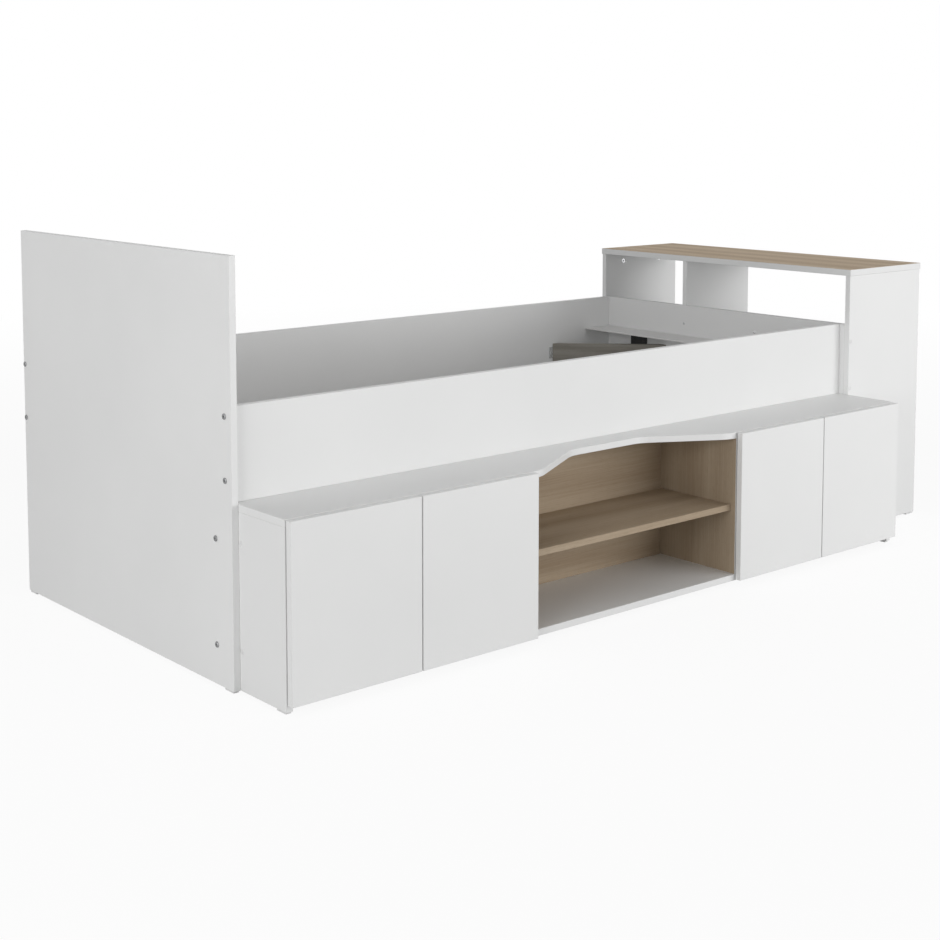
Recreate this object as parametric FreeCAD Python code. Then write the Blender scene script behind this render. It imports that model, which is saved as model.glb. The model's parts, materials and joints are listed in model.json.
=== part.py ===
import FreeCAD, Part
import os
from math import sin, tan

# Kids bed with a storage bench along its front and an open bookcase at its head.
# Lengths are in millimetres. While the pieces are made, X runs from the outer face of the
# foot panel to the head, Y from the front edge of the foot panel to the back, Z up from
# the floor. On export the origin goes to the bottom centre of the whole bed.

# Mattress space
MATTRESS_LENGTH = 2000.0
MATTRESS_WIDTH = 900.0
MATTRESS_END_PLAY = 38.0
MATTRESS_SIDE_PLAY = 6.0

# Boards and cuts
BOARD = 16.0
TOP_BOARD = 18.0
BACK_SHEET = 3.0
EDGE_BREAK = 0.8
OVERRUN = 2.0
FIT = 0.1

# Foot panel and rails
FOOT_HEIGHT = 914.0
RAIL_HEIGHT = 202.0
RAIL_SETBACK = 16.0
RAIL_SKIRT = 58.0
RAIL_BOLT_DROP = 21.0
RAIL_BOLT_RISE = 47.0

# Corner braces, which carry a separate slatted base
BRACE_LEG = 258.0
BRACE_HEIGHT = 69.0
BRACE_THICK = 16.0
BRACE_PLATE_MARGIN = 14.0
BRACE_PLATE_DROP = 11.0
BRACE_PLATE_HEIGHT = 36.0
BRACE_PLATE_THICK = 2.0

# Head bookcase
HEAD_DEPTH = 340.0
HEAD_HEIGHT = 760.0
HEAD_TOP_OVERHANG = 2.0
HEAD_FLOOR = 60.0
HEAD_PARTITION_DEPTH = 300.0
HEAD_PARTITION_SHARE = 0.6385
LEDGE_DEPTH = 110.0
LEDGE_RISE = 107.0
LEDGE_THICK = 4.0
BRACKET_LEG = 60.0
BRACKET_WIDTH = 70.0
BRACKET_THICK = 3.0
BRACKET_SHARES = (0.152, 0.5, 0.848)

# Storage bench
BENCH_HEIGHT = 400.0
BENCH_DEPTH = 272.0
BENCH_PROJECTION = 169.0
BENCH_UNDERSIDE = 17.0
NICHE_WIDTH = 697.0
NICHE_SHELF_TOP = 212.0
NICHE_SHELF_SETBACK = 15.0
SHELF_PLAY = 0.5
RECESS_MARGIN = 25.0
RECESS_RUN = 205.0
RECESS_DEPTH = 117.0
RECESS_RADIUS = 84.0
PIN_RADIUS = 2.5
PIN_SEAT = 10.0
PIN_REACH = 8.0
PIN_INSET = 40.0

# Doors
DOOR_GAP = 3.0
DOOR_SPLIT = 3.0
DOOR_BOTTOM = 20.0
DOOR_TOP_DROP = 1.0
DOOR_EDGE_INSET = 1.0

# Concealed hinges
HINGE_INSET = 80.0
CUP_RADIUS = 17.5
CUP_DEPTH = 11.5
CUP_WALL = 1.0
CUP_FROM_EDGE = 22.5
FLANGE_LENGTH = 50.0
FLANGE_WIDTH = 22.0
FLANGE_THICK = 1.2
ARM_HALF_WIDTH = 6.5
ARM_BACK = 60.0
ARM_RISE = 13.5
ARM_NECK = 5.0
ARM_SEAT_FRONT = 28.0
ARM_NECK_BACK = 20.0
ARM_NECK_FRONT = 6.0
NOSE_OUT = 4.0
NOSE_REACH = 8.0
PLATE_THICK = 3.0
PLATE_FRONT = 20.0
PLATE_REAR = 62.0
WING_HALF_WIDTH = 8.0
WING_HALF_LENGTH = 24.0
WING_BACK = 37.0

# Touch latches
LATCH_WIDTH = 14.0
LATCH_HEIGHT = 16.0
LATCH_LENGTH = 52.0
LATCH_SETBACK = 1.0
LATCH_FROM_EDGE = 26.0
PLUNGER_RADIUS = 3.5
PLUNGER_LENGTH = 24.0
PLUNGER_PLAY = 0.4
PLUNGER_BORE = 34.0
TOUCH_PLAY = 0.3
STRIKE_RADIUS = 7.0
STRIKE_THICK = 1.0

# Connecting bolts, barrel nuts and sleeve nuts
BOLT_RADIUS = 3.0
BOLT_PLAY = 0.4
BOLT_HEAD_RADIUS = 6.5
BOLT_HEAD_RISE = 2.5
BARREL_RADIUS = 5.0
BARREL_LENGTH = 12.0
BARREL_FROM_END = 38.0
BARREL_SINK = 0.5
BENCH_BOLT_DROP = 82.0
BENCH_BOLT_RISE = 91.0
BENCH_BOLT_BACK = 64.0
SLEEVE_RADIUS = 4.5
SLEEVE_LENGTH = 12.0
SLEEVE_FLANGE_RADIUS = 7.5
SLEEVE_FLANGE_THICK = 2.0

# Carcass screws, caps, cams and plugs
SCREW_RADIUS = 3.2
SCREW_LENGTH = 50.0
SCREW_HEAD_RADIUS = 4.5
SCREW_HEAD_RISE = 1.2
HEAD_SCREW_DROP = 49.0
HEAD_SCREW_RISE = 76.0
PARTITION_SCREW_DROP = 57.0
CAP_RADIUS = 6.5
CAP_RISE = 1.5
PLUG_FRONT = 8.0
CAM_RADIUS = 7.5
CAM_DEPTH = 12.0
CAM_DROP = 27.0
CAM_INSET = 84.0

# Glides and feet
GLIDE_HEIGHT = 5.0
GLIDE_WIDTH = 13.0
GLIDE_LENGTH = 32.0
GLIDE_INSET = 5.0
GLIDE_EDGE = 1.2
FOOT_RADIUS = 20.0
FOOT_TAPER = 4.0
FOOT_INSET = 92.0

# Planes that the sizes above lead to
INNER_LENGTH = MATTRESS_LENGTH + MATTRESS_END_PLAY
X_FOOT = BOARD
X_HEAD = X_FOOT + INNER_LENGTH
X_END = X_HEAD + HEAD_DEPTH
Y_FRONT_RAIL = (RAIL_SETBACK, RAIL_SETBACK + BOARD)
CLEAR_WIDTH = MATTRESS_WIDTH + 2 * MATTRESS_SIDE_PLAY
Y_REAR_RAIL = (Y_FRONT_RAIL[1] + CLEAR_WIDTH, Y_FRONT_RAIL[1] + CLEAR_WIDTH + BOARD)
FOOT_WIDTH = Y_REAR_RAIL[1]
Y_RAIL_CENTRES = (sum(Y_FRONT_RAIL) / 2, sum(Y_REAR_RAIL) / 2)
RAIL_TOP = BENCH_HEIGHT + RAIL_HEIGHT
Z_HEAD_PANEL = (BENCH_HEIGHT - RAIL_SKIRT, RAIL_TOP)
LEDGE_TOP = BENCH_HEIGHT + LEDGE_RISE
Z_LEDGE = (LEDGE_TOP - LEDGE_THICK, LEDGE_TOP)
Z_HEAD_SHELF = (LEDGE_TOP - BOARD, LEDGE_TOP)
Z_BRACE = (BENCH_HEIGHT, BENCH_HEIGHT + BRACE_HEIGHT)
Z_HEAD_TOP = HEAD_HEIGHT - TOP_BOARD
Y_PARTITION = FOOT_WIDTH * HEAD_PARTITION_SHARE

Y_BENCH = (-BENCH_PROJECTION, BENCH_DEPTH - BENCH_PROJECTION)
Z_BENCH_TOP = (BENCH_HEIGHT - BOARD, BENCH_HEIGHT)
Z_BENCH_BOTTOM = (BENCH_UNDERSIDE, BENCH_UNDERSIDE + BOARD)
Z_INSIDE = (Z_BENCH_BOTTOM[1], Z_BENCH_TOP[0])
X_LEFT_SIDE = (X_FOOT, X_FOOT + BOARD)
X_RIGHT_SIDE = (X_HEAD - BOARD, X_HEAD)
X_NICHE_CENTRE = (X_FOOT + X_HEAD) / 2
X_NICHE = (X_NICHE_CENTRE - NICHE_WIDTH / 2, X_NICHE_CENTRE + NICHE_WIDTH / 2)
X_LEFT_PARTITION = (X_NICHE[0] - BOARD, X_NICHE[0])
X_RIGHT_PARTITION = (X_NICHE[1], X_NICHE[1] + BOARD)
Y_DOOR = (Y_BENCH[0] - DOOR_GAP - BOARD, Y_BENCH[0] - DOOR_GAP)
Z_DOOR = (DOOR_BOTTOM, BENCH_HEIGHT - DOOR_TOP_DROP)

Z_RAIL_BOLTS = (RAIL_TOP - RAIL_BOLT_DROP, BENCH_HEIGHT + RAIL_BOLT_RISE)
Z_HEAD_SCREWS = (RAIL_TOP - HEAD_SCREW_DROP, Z_HEAD_PANEL[0] + HEAD_SCREW_RISE)
Z_BENCH_BOLTS = (BENCH_HEIGHT - BENCH_BOLT_DROP, BENCH_BOLT_RISE)
BOLT_REACH = BARREL_FROM_END + BARREL_RADIUS / 2

OVERALL_X = (-BOLT_HEAD_RISE, X_END + HEAD_TOP_OVERHANG)
OVERALL_Y = (Y_DOOR[0], FOOT_WIDTH + BOARD + HEAD_TOP_OVERHANG)
ORIGIN = FreeCAD.Vector(sum(OVERALL_X) / 2, sum(OVERALL_Y) / 2, 0)

ALONG_X = FreeCAD.Vector(1, 0, 0)
ALONG_Y = FreeCAD.Vector(0, 1, 0)
ALONG_Z = FreeCAD.Vector(0, 0, 1)


def box(x, y, z):
    corner = FreeCAD.Vector(x[0], y[0], z[0])
    return Part.makeBox(x[1] - x[0], y[1] - y[0], z[1] - z[0], corner)


def board(x, y, z, edge=EDGE_BREAK):
    solid = box(x, y, z)
    return solid.makeChamfer(edge, solid.Edges)


def rod(start, along, radius, length):
    return Part.makeCylinder(radius, length, start, along)


def drill(solid, start, along, radius, length):
    return solid.cut(rod(start - along * OVERRUN, along, radius, length + OVERRUN))


def placed(solid, start, along):
    piece = solid.copy()
    turn = FreeCAD.Rotation(ALONG_Z, along)
    piece.Placement = FreeCAD.Placement(start, turn)
    return piece


def headed(radius, length, head_radius, head_rise):
    # Head below the start plane, shank running up along Z
    head = rod(ALONG_Z * -head_rise, ALONG_Z, head_radius, head_rise)
    return head.fuse(rod(FreeCAD.Vector(), ALONG_Z, radius, length)).removeSplitter()


def bolt(length):
    return headed(BOLT_RADIUS, length, BOLT_HEAD_RADIUS, BOLT_HEAD_RISE)


def carcass_screw():
    return headed(SCREW_RADIUS, SCREW_LENGTH, SCREW_HEAD_RADIUS, SCREW_HEAD_RISE)


def screw_hole(solid, start, along):
    return drill(solid, start, along, SCREW_RADIUS + FIT, SCREW_LENGTH + FIT)


def cap(face, outward):
    return rod(face, outward, CAP_RADIUS, CAP_RISE)


def rail_bolt_places():
    return [(y, z) for y in Y_RAIL_CENTRES for z in Z_RAIL_BOLTS]


def make_foot_panel():
    panel = board((0, X_FOOT), (0, FOOT_WIDTH), (GLIDE_HEIGHT, FOOT_HEIGHT))
    for y, z in rail_bolt_places():
        panel = drill(panel, FreeCAD.Vector(0, y, z), ALONG_X, BOLT_RADIUS + BOLT_PLAY, BOARD + OVERRUN)
    for z in Z_BENCH_BOLTS:
        start = FreeCAD.Vector(0, BENCH_BOLT_BACK, z)
        panel = drill(panel, start, ALONG_X, BOLT_RADIUS + BOLT_PLAY, BOARD + OVERRUN)
    return panel


def make_rail(y_range, z_range):
    # Barrel nuts go in from the face away from the bench doors
    rail = board((X_FOOT, X_HEAD), y_range, z_range)
    bore_length = BOLT_REACH + BOLT_PLAY
    for z in Z_RAIL_BOLTS:
        centre = FreeCAD.Vector(0, sum(y_range) / 2, z)
        for end, along in ((X_FOOT, ALONG_X), (X_HEAD, -ALONG_X)):
            start = centre + ALONG_X * end
            rail = drill(rail, start, along, BOLT_RADIUS + BOLT_PLAY, bore_length)
            seat = FreeCAD.Vector(end, y_range[1], centre.z) + along * BARREL_FROM_END
            depth = BARREL_LENGTH + BARREL_SINK
            rail = drill(rail, seat, -ALONG_Y, BARREL_RADIUS + FIT, depth)
    return rail


def make_rail_bolts():
    bolts = []
    for y, z in rail_bolt_places():
        bolts.append(placed(bolt(BOARD + BOLT_REACH), FreeCAD.Vector(0, y, z), ALONG_X))
        start = FreeCAD.Vector(X_HEAD + BOARD, y, z)
        bolts.append(placed(bolt(BOARD + BOLT_REACH), start, -ALONG_X))
    return Part.makeCompound(bolts)


def make_barrel_nuts():
    nuts = []
    rails = ((Y_FRONT_RAIL[1], Y_RAIL_CENTRES[0]), (Y_REAR_RAIL[1], Y_RAIL_CENTRES[1]))
    for nut_face, centre in rails:
        for z in Z_RAIL_BOLTS:
            for end, along in ((X_FOOT, ALONG_X), (X_HEAD, -ALONG_X)):
                axis = FreeCAD.Vector(end, nut_face, z) + along * BARREL_FROM_END
                nut = rod(axis - ALONG_Y * BARREL_SINK, -ALONG_Y, BARREL_RADIUS, BARREL_LENGTH)
                way = FreeCAD.Vector(axis.x, centre, z) - along * BARREL_RADIUS
                depth = BARREL_RADIUS + BARREL_RADIUS / 2 + FIT
                nuts.append(drill(nut, way, along, BOLT_RADIUS + FIT, depth))
    return Part.makeCompound(nuts)


def make_head_panel():
    panel = board((X_HEAD, X_HEAD + BOARD), (0, FOOT_WIDTH), Z_HEAD_PANEL)
    for y, z in rail_bolt_places():
        start = FreeCAD.Vector(X_HEAD, y, z)
        panel = drill(panel, start, ALONG_X, BOLT_RADIUS + BOLT_PLAY, BOARD + OVERRUN)
    for z in Z_HEAD_SCREWS:
        x = X_HEAD + BOARD / 2
        panel = screw_hole(panel, FreeCAD.Vector(x, -BOARD, z), ALONG_Y)
        panel = screw_hole(panel, FreeCAD.Vector(x, FOOT_WIDTH + BOARD, z), -ALONG_Y)
    return screw_hole(panel, partition_screw_start(), ALONG_X)


def partition_screw_start():
    return FreeCAD.Vector(X_HEAD, Y_PARTITION, RAIL_TOP - PARTITION_SCREW_DROP)


def make_ledge():
    return board((X_HEAD - LEDGE_DEPTH, X_HEAD), (Y_FRONT_RAIL[1], Y_REAR_RAIL[0]), Z_LEDGE)


def make_ledge_brackets():
    brackets = []
    for share in BRACKET_SHARES:
        middle = Y_FRONT_RAIL[1] + CLEAR_WIDTH * share
        width = (middle - BRACKET_WIDTH / 2, middle + BRACKET_WIDTH / 2)
        leg = (Z_LEDGE[0] - BRACKET_LEG, Z_LEDGE[0])
        upright = box((X_HEAD - BRACKET_THICK, X_HEAD), width, leg)
        arm = box((X_HEAD - BRACKET_LEG, X_HEAD), width, (Z_LEDGE[0] - BRACKET_THICK, Z_LEDGE[0]))
        brackets.append(upright.fuse(arm).removeSplitter())
    return Part.makeCompound(brackets)


def inner_corners():
    # Corner of the clear space, and the ways from it along the bed and across it
    return [
        (FreeCAD.Vector(x, y, 0), along, across)
        for x, along in ((X_FOOT, ALONG_X), (X_HEAD, -ALONG_X))
        for y, across in ((Y_FRONT_RAIL[1], ALONG_Y), (Y_REAR_RAIL[0], -ALONG_Y))
    ]


def brace_near():
    # Distance from the corner at which the back of a brace meets either wall
    return BRACE_LEG - BRACE_THICK * (ALONG_X + ALONG_Y).Length


def make_corner_braces():
    # Each brace crosses a corner at 45 degrees, with mitred ends between two plates
    near = brace_near() - BRACE_PLATE_THICK
    far = BRACE_LEG - BRACE_PLATE_THICK
    braces = []
    for corner, along, across in inner_corners():
        low = corner + (along + across) * BRACE_PLATE_THICK + ALONG_Z * Z_BRACE[0]
        outline = [low + along * far, low + along * near, low + across * near, low + across * far]
        face = Part.Face(Part.makePolygon(outline + outline[:1]))
        brace = face.extrude(ALONG_Z * BRACE_HEIGHT)
        braces.append(brace.makeChamfer(EDGE_BREAK, brace.Edges))
    return Part.makeCompound(braces)


def make_brace_plates():
    near = brace_near() - BRACE_PLATE_MARGIN
    far = BRACE_LEG + BRACE_PLATE_MARGIN
    top = Z_BRACE[1] - BRACE_PLATE_DROP
    plates = []
    for corner, along, across in inner_corners():
        for run, off in ((along, across), (across, along)):
            start = corner + run * near
            end = corner + run * far + off * BRACE_PLATE_THICK
            x = (min(start.x, end.x), max(start.x, end.x))
            y = (min(start.y, end.y), max(start.y, end.y))
            plates.append(box(x, y, (top - BRACE_PLATE_HEIGHT, top)))
    return Part.makeCompound(plates)


def cam_places():
    return (X_HEAD + CAM_INSET, X_END - CAM_INSET)


def cam_pockets(panel, face, inward):
    z = Z_HEAD_TOP - CAM_DROP
    for x in cam_places():
        start = FreeCAD.Vector(x, face, z)
        panel = drill(panel, start, inward, CAM_RADIUS + FIT, CAM_DEPTH + FIT)
    return panel


def cam_faces():
    # Face that carries the cams of each upright, and the way into the board
    return ((0, -ALONG_Y), (FOOT_WIDTH, ALONG_Y), (Y_PARTITION + BOARD / 2, -ALONG_Y))


def make_head_side(y_range, cam_face, cam_inward, screw_face, screw_inward):
    side = board((X_HEAD, X_END), y_range, (GLIDE_HEIGHT, Z_HEAD_TOP))
    side = cam_pockets(side, cam_face, cam_inward)
    for z in Z_HEAD_SCREWS:
        side = screw_hole(side, FreeCAD.Vector(X_HEAD + BOARD / 2, screw_face, z), screw_inward)
    return side


def make_head_front_side():
    side = make_head_side((-BOARD, 0), 0, -ALONG_Y, -BOARD, ALONG_Y)
    for z in Z_BENCH_BOLTS:
        side = screw_hole(side, bench_screw_start(z), ALONG_X)
    return side


def make_head_rear_side():
    outer = FOOT_WIDTH + BOARD
    return make_head_side((FOOT_WIDTH, outer), FOOT_WIDTH, ALONG_Y, outer, -ALONG_Y)


def make_head_top():
    x = (X_HEAD - HEAD_TOP_OVERHANG, X_END + HEAD_TOP_OVERHANG)
    y = (-BOARD - HEAD_TOP_OVERHANG, FOOT_WIDTH + BOARD + HEAD_TOP_OVERHANG)
    return board(x, y, (Z_HEAD_TOP, HEAD_HEIGHT))


def make_cam_locks():
    z = Z_HEAD_TOP - CAM_DROP
    locks = []
    for face, inward in cam_faces():
        for x in cam_places():
            locks.append(rod(FreeCAD.Vector(x, face, z), inward, CAM_RADIUS, CAM_DEPTH))
    return Part.makeCompound(locks)


def make_head_shelf():
    return board((X_HEAD + BOARD, X_END - BACK_SHEET), (0, FOOT_WIDTH), Z_HEAD_SHELF)


def make_head_bottom():
    return board((X_HEAD, X_END - BACK_SHEET), (0, FOOT_WIDTH), (HEAD_FLOOR, HEAD_FLOOR + BOARD))


def make_head_back():
    return board((X_END - BACK_SHEET, X_END), (0, FOOT_WIDTH), (HEAD_FLOOR, LEDGE_TOP))


def make_head_partition():
    # The near edge is flush with the sides and notched round the head panel
    y = (Y_PARTITION - BOARD / 2, Y_PARTITION + BOARD / 2)
    partition = board((X_HEAD, X_HEAD + HEAD_PARTITION_DEPTH), y, (LEDGE_TOP, Z_HEAD_TOP))
    notch_y = (y[0] - OVERRUN, y[1] + OVERRUN)
    notch = box((X_HEAD - OVERRUN, X_HEAD + BOARD), notch_y, (LEDGE_TOP - OVERRUN, RAIL_TOP))
    partition = cam_pockets(partition.cut(notch), y[1], -ALONG_Y)
    return screw_hole(partition, partition_screw_start(), ALONG_X)


def head_screw_faces():
    # Outer face of each side and the way out of it
    return ((-BOARD, -ALONG_Y), (FOOT_WIDTH + BOARD, ALONG_Y))


def make_head_screws():
    screws = [placed(carcass_screw(), partition_screw_start(), ALONG_X)]
    for face, outward in head_screw_faces():
        for z in Z_HEAD_SCREWS:
            start = FreeCAD.Vector(X_HEAD + BOARD / 2, face, z)
            screws.append(rod(start, -outward, SCREW_RADIUS, SCREW_LENGTH))
    return Part.makeCompound(screws)


def make_screw_caps():
    caps = []
    for face, outward in head_screw_faces():
        for z in Z_HEAD_SCREWS:
            caps.append(cap(FreeCAD.Vector(X_HEAD + BOARD / 2, face, z), outward))
    return Part.makeCompound(caps)


def make_hole_plugs():
    plugs = [cap(FreeCAD.Vector(X_FOOT, -PLUG_FRONT, z), -ALONG_X) for z in Z_BENCH_BOLTS]
    return Part.makeCompound(plugs)


def bench_screw_start(z):
    return FreeCAD.Vector(X_RIGHT_SIDE[0], -BOARD / 2, z)


def make_bench_screws():
    screws = [placed(carcass_screw(), bench_screw_start(z), ALONG_X) for z in Z_BENCH_BOLTS]
    return Part.makeCompound(screws)


def make_bench_bolts():
    length = BOARD + BOARD - SLEEVE_FLANGE_THICK
    bolts = []
    for z in Z_BENCH_BOLTS:
        bolts.append(placed(bolt(length), FreeCAD.Vector(0, BENCH_BOLT_BACK, z), ALONG_X))
    return Part.makeCompound(bolts)


def make_sleeve_nuts():
    nuts = []
    for z in Z_BENCH_BOLTS:
        start = FreeCAD.Vector(X_LEFT_SIDE[1], BENCH_BOLT_BACK, z)
        flange = rod(start, ALONG_X, SLEEVE_FLANGE_RADIUS, SLEEVE_FLANGE_THICK)
        sleeve = rod(start, -ALONG_X, SLEEVE_RADIUS, SLEEVE_LENGTH)
        nut = flange.fuse(sleeve).removeSplitter()
        mouth = start - ALONG_X * SLEEVE_LENGTH
        nuts.append(drill(nut, mouth, ALONG_X, BOLT_RADIUS + FIT, SLEEVE_LENGTH - FIT))
    return Part.makeCompound(nuts)


def make_bench_side(x_range):
    return board(x_range, Y_BENCH, (GLIDE_HEIGHT, Z_BENCH_TOP[0]))


def make_bench_left_side():
    side = make_bench_side(X_LEFT_SIDE)
    for z in Z_BENCH_BOLTS:
        start = FreeCAD.Vector(X_FOOT, BENCH_BOLT_BACK, z)
        side = drill(side, start, ALONG_X, SLEEVE_RADIUS + FIT, BOARD + OVERRUN)
    return side


def make_bench_right_side():
    side = make_bench_side(X_RIGHT_SIDE)
    for z in Z_BENCH_BOLTS:
        side = screw_hole(side, bench_screw_start(z), ALONG_X)
    return side


def make_bench_partition(x_range, niche_face, into_niche):
    partition = board(x_range, Y_BENCH, Z_INSIDE)
    for y, z in pin_places():
        start = FreeCAD.Vector(niche_face, y, z)
        partition = drill(partition, start, -into_niche, PIN_RADIUS + FIT, PIN_SEAT + FIT)
    return partition


def make_bench_bottom():
    return board((X_LEFT_SIDE[1], X_RIGHT_SIDE[0]), Y_BENCH, Z_BENCH_BOTTOM)


def corner_arc(before, corner, after, radius):
    # Ends and middle of the arc that rounds a corner of the outline
    back = (before - corner).normalize()
    ahead = (after - corner).normalize()
    half = back.getAngle(ahead) / 2
    reach = radius / tan(half)
    inward = (back + ahead).normalize()
    middle = corner + inward * (radius / sin(half) - radius)
    return corner + back * reach, middle, corner + ahead * reach


def recess_edges(z):
    floor_y = Y_BENCH[0] + RECESS_DEPTH
    start = X_NICHE[0] + RECESS_MARGIN
    stop = X_NICHE[1] - RECESS_MARGIN
    points = [
        FreeCAD.Vector(X_NICHE[0], Y_BENCH[0], z),
        FreeCAD.Vector(start, Y_BENCH[0], z),
        FreeCAD.Vector(start + RECESS_RUN, floor_y, z),
        FreeCAD.Vector(stop - RECESS_RUN, floor_y, z),
        FreeCAD.Vector(stop, Y_BENCH[0], z),
        FreeCAD.Vector(X_NICHE[1], Y_BENCH[0], z),
    ]
    edges = []
    last = points[0]
    for before, corner, after in zip(points, points[1:], points[2:]):
        arc_start, arc_middle, arc_end = corner_arc(before, corner, after, RECESS_RADIUS)
        edges.append(Part.makeLine(last, arc_start))
        edges.append(Part.Arc(arc_start, arc_middle, arc_end).toShape())
        last = arc_end
    edges.append(Part.makeLine(last, points[-1]))
    return edges


def make_bench_top():
    z = Z_BENCH_TOP[0]
    corners = [
        FreeCAD.Vector(X_NICHE[1], Y_BENCH[0], z),
        FreeCAD.Vector(X_HEAD, Y_BENCH[0], z),
        FreeCAD.Vector(X_HEAD, Y_BENCH[1], z),
        FreeCAD.Vector(X_FOOT, Y_BENCH[1], z),
        FreeCAD.Vector(X_FOOT, Y_BENCH[0], z),
        FreeCAD.Vector(X_NICHE[0], Y_BENCH[0], z),
    ]
    edges = recess_edges(z)
    for start, end in zip(corners, corners[1:]):
        edges.append(Part.makeLine(start, end))
    outline = Part.Wire(Part.__sortEdges__(edges))
    top = Part.Face(outline).extrude(ALONG_Z * BOARD).removeSplitter()
    return top.makeChamfer(EDGE_BREAK, top.Edges)


def make_niche_back():
    return board(X_NICHE, (Y_BENCH[1] - BOARD, Y_BENCH[1]), Z_INSIDE)


def make_bay_back(x_range):
    return board(x_range, (Y_BENCH[1], Y_BENCH[1] + BACK_SHEET), (BENCH_UNDERSIDE, BENCH_HEIGHT))


def make_niche_shelf():
    x = (X_NICHE[0] + SHELF_PLAY, X_NICHE[1] - SHELF_PLAY)
    y = (Y_BENCH[0] + NICHE_SHELF_SETBACK, Y_BENCH[1] - BOARD - SHELF_PLAY)
    return board(x, y, (NICHE_SHELF_TOP - BOARD, NICHE_SHELF_TOP))


def pin_places():
    z = NICHE_SHELF_TOP - BOARD - PIN_RADIUS
    front = Y_BENCH[0] + NICHE_SHELF_SETBACK + PIN_INSET
    return ((front, z), (Y_BENCH[1] - BOARD - PIN_INSET, z))


def make_shelf_pins():
    pins = []
    for niche_face, into_niche in ((X_NICHE[0], ALONG_X), (X_NICHE[1], -ALONG_X)):
        for y, z in pin_places():
            start = FreeCAD.Vector(niche_face, y, z) - into_niche * PIN_SEAT
            pins.append(rod(start, into_niche, PIN_RADIUS, PIN_SEAT + PIN_REACH))
    return Part.makeCompound(pins)


def doors():
    # Ends of each door, its hinged end, the face that carries its hinges and the way off that face
    bays = ((X_FOOT, X_LEFT_PARTITION[1]), (X_RIGHT_PARTITION[0], X_HEAD))
    faces = (X_LEFT_SIDE[1], X_LEFT_PARTITION[0], X_RIGHT_PARTITION[1], X_RIGHT_SIDE[0])
    rows = []
    for low, high in bays:
        low = low + DOOR_EDGE_INSET
        high = high - DOOR_EDGE_INSET
        width = (high - low - DOOR_SPLIT) / 2
        rows.append(((low, low + width), low, low + width, ALONG_X))
        rows.append(((high - width, high), high, high - width, -ALONG_X))
    return [row + (face,) for row, face in zip(rows, faces)]


def hinge_heights():
    return (Z_DOOR[0] + HINGE_INSET, Z_DOOR[1] - HINGE_INSET)


def make_door(x_range, hinged, way):
    door = board(x_range, Y_DOOR, Z_DOOR)
    for z in hinge_heights():
        start = FreeCAD.Vector(hinged, Y_DOOR[1], z) + way * CUP_FROM_EDGE
        door = drill(door, start, -ALONG_Y, CUP_RADIUS, CUP_DEPTH)
    return door


def make_hinge_cups(hinged, way):
    cups = []
    for z in hinge_heights():
        mouth = FreeCAD.Vector(hinged, Y_DOOR[1], z) + way * CUP_FROM_EDGE
        cup = rod(mouth, -ALONG_Y, CUP_RADIUS - FIT, CUP_DEPTH - FIT)
        x = (mouth.x - FLANGE_WIDTH / 2, mouth.x + FLANGE_WIDTH / 2)
        y = (Y_DOOR[1], Y_DOOR[1] + FLANGE_THICK)
        flange = box(x, y, (z - FLANGE_LENGTH / 2, z + FLANGE_LENGTH / 2))
        hollow = CUP_RADIUS - FIT - CUP_WALL
        depth = CUP_DEPTH - FIT - CUP_WALL + FLANGE_THICK
        start = mouth + ALONG_Y * FLANGE_THICK
        cup = cup.fuse(flange).removeSplitter()
        cups.append(drill(cup, start, -ALONG_Y, hollow, depth))
    return Part.makeCompound(cups)


def hinge_arm():
    # Arm on a panel at X = 0, reaching out along X, with the carcass front at Y = 0
    under_neck = ARM_RISE - ARM_NECK
    nose_top = NOSE_OUT + ARM_NECK
    outline = (
        (PLATE_THICK, ARM_BACK),
        (PLATE_THICK, ARM_SEAT_FRONT),
        (under_neck, ARM_NECK_BACK),
        (under_neck, ARM_NECK_FRONT),
        (NOSE_OUT, 0),
        (NOSE_OUT, -NOSE_REACH),
        (nose_top, -NOSE_REACH),
        (nose_top, 0),
        (ARM_RISE, ARM_NECK_FRONT),
        (ARM_RISE, ARM_BACK),
    )
    corners = [FreeCAD.Vector(out, back, -ARM_HALF_WIDTH) for out, back in outline]
    face = Part.Face(Part.makePolygon(corners + corners[:1]))
    return face.extrude(ALONG_Z * ARM_HALF_WIDTH * 2)


def hinge_plate():
    # Winged mounting plate under the arm
    spine = box((0, PLATE_THICK), (PLATE_FRONT, PLATE_REAR), (-ARM_HALF_WIDTH, ARM_HALF_WIDTH))
    wing_y = (WING_BACK - WING_HALF_WIDTH, WING_BACK + WING_HALF_WIDTH)
    wings = box((0, PLATE_THICK), wing_y, (-WING_HALF_LENGTH, WING_HALF_LENGTH))
    return spine.fuse(wings).removeSplitter()


def on_hinge_faces(piece):
    copies = []
    for x_range, hinged, free, way, face in doors():
        for z in hinge_heights():
            copy = piece.copy()
            if way.x < 0:
                copy = copy.mirror(FreeCAD.Vector(), ALONG_X)
            copy.translate(FreeCAD.Vector(face, Y_BENCH[0], z))
            copies.append(copy)
    return Part.makeCompound(copies)


def latch_axis(free, way):
    x = free - way.x * LATCH_FROM_EDGE
    return FreeCAD.Vector(x, Y_BENCH[0] + LATCH_SETBACK, Z_BENCH_TOP[0] - LATCH_HEIGHT / 2)


def make_latch_bodies():
    bodies = []
    for x_range, hinged, free, way, face in doors():
        front = latch_axis(free, way)
        x = (front.x - LATCH_WIDTH / 2, front.x + LATCH_WIDTH / 2)
        y = (front.y, front.y + LATCH_LENGTH)
        body = board(x, y, (Z_BENCH_TOP[0] - LATCH_HEIGHT, Z_BENCH_TOP[0]))
        bodies.append(drill(body, front, ALONG_Y, PLUNGER_RADIUS + PLUNGER_PLAY, PLUNGER_BORE))
    return Part.makeCompound(bodies)


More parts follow.
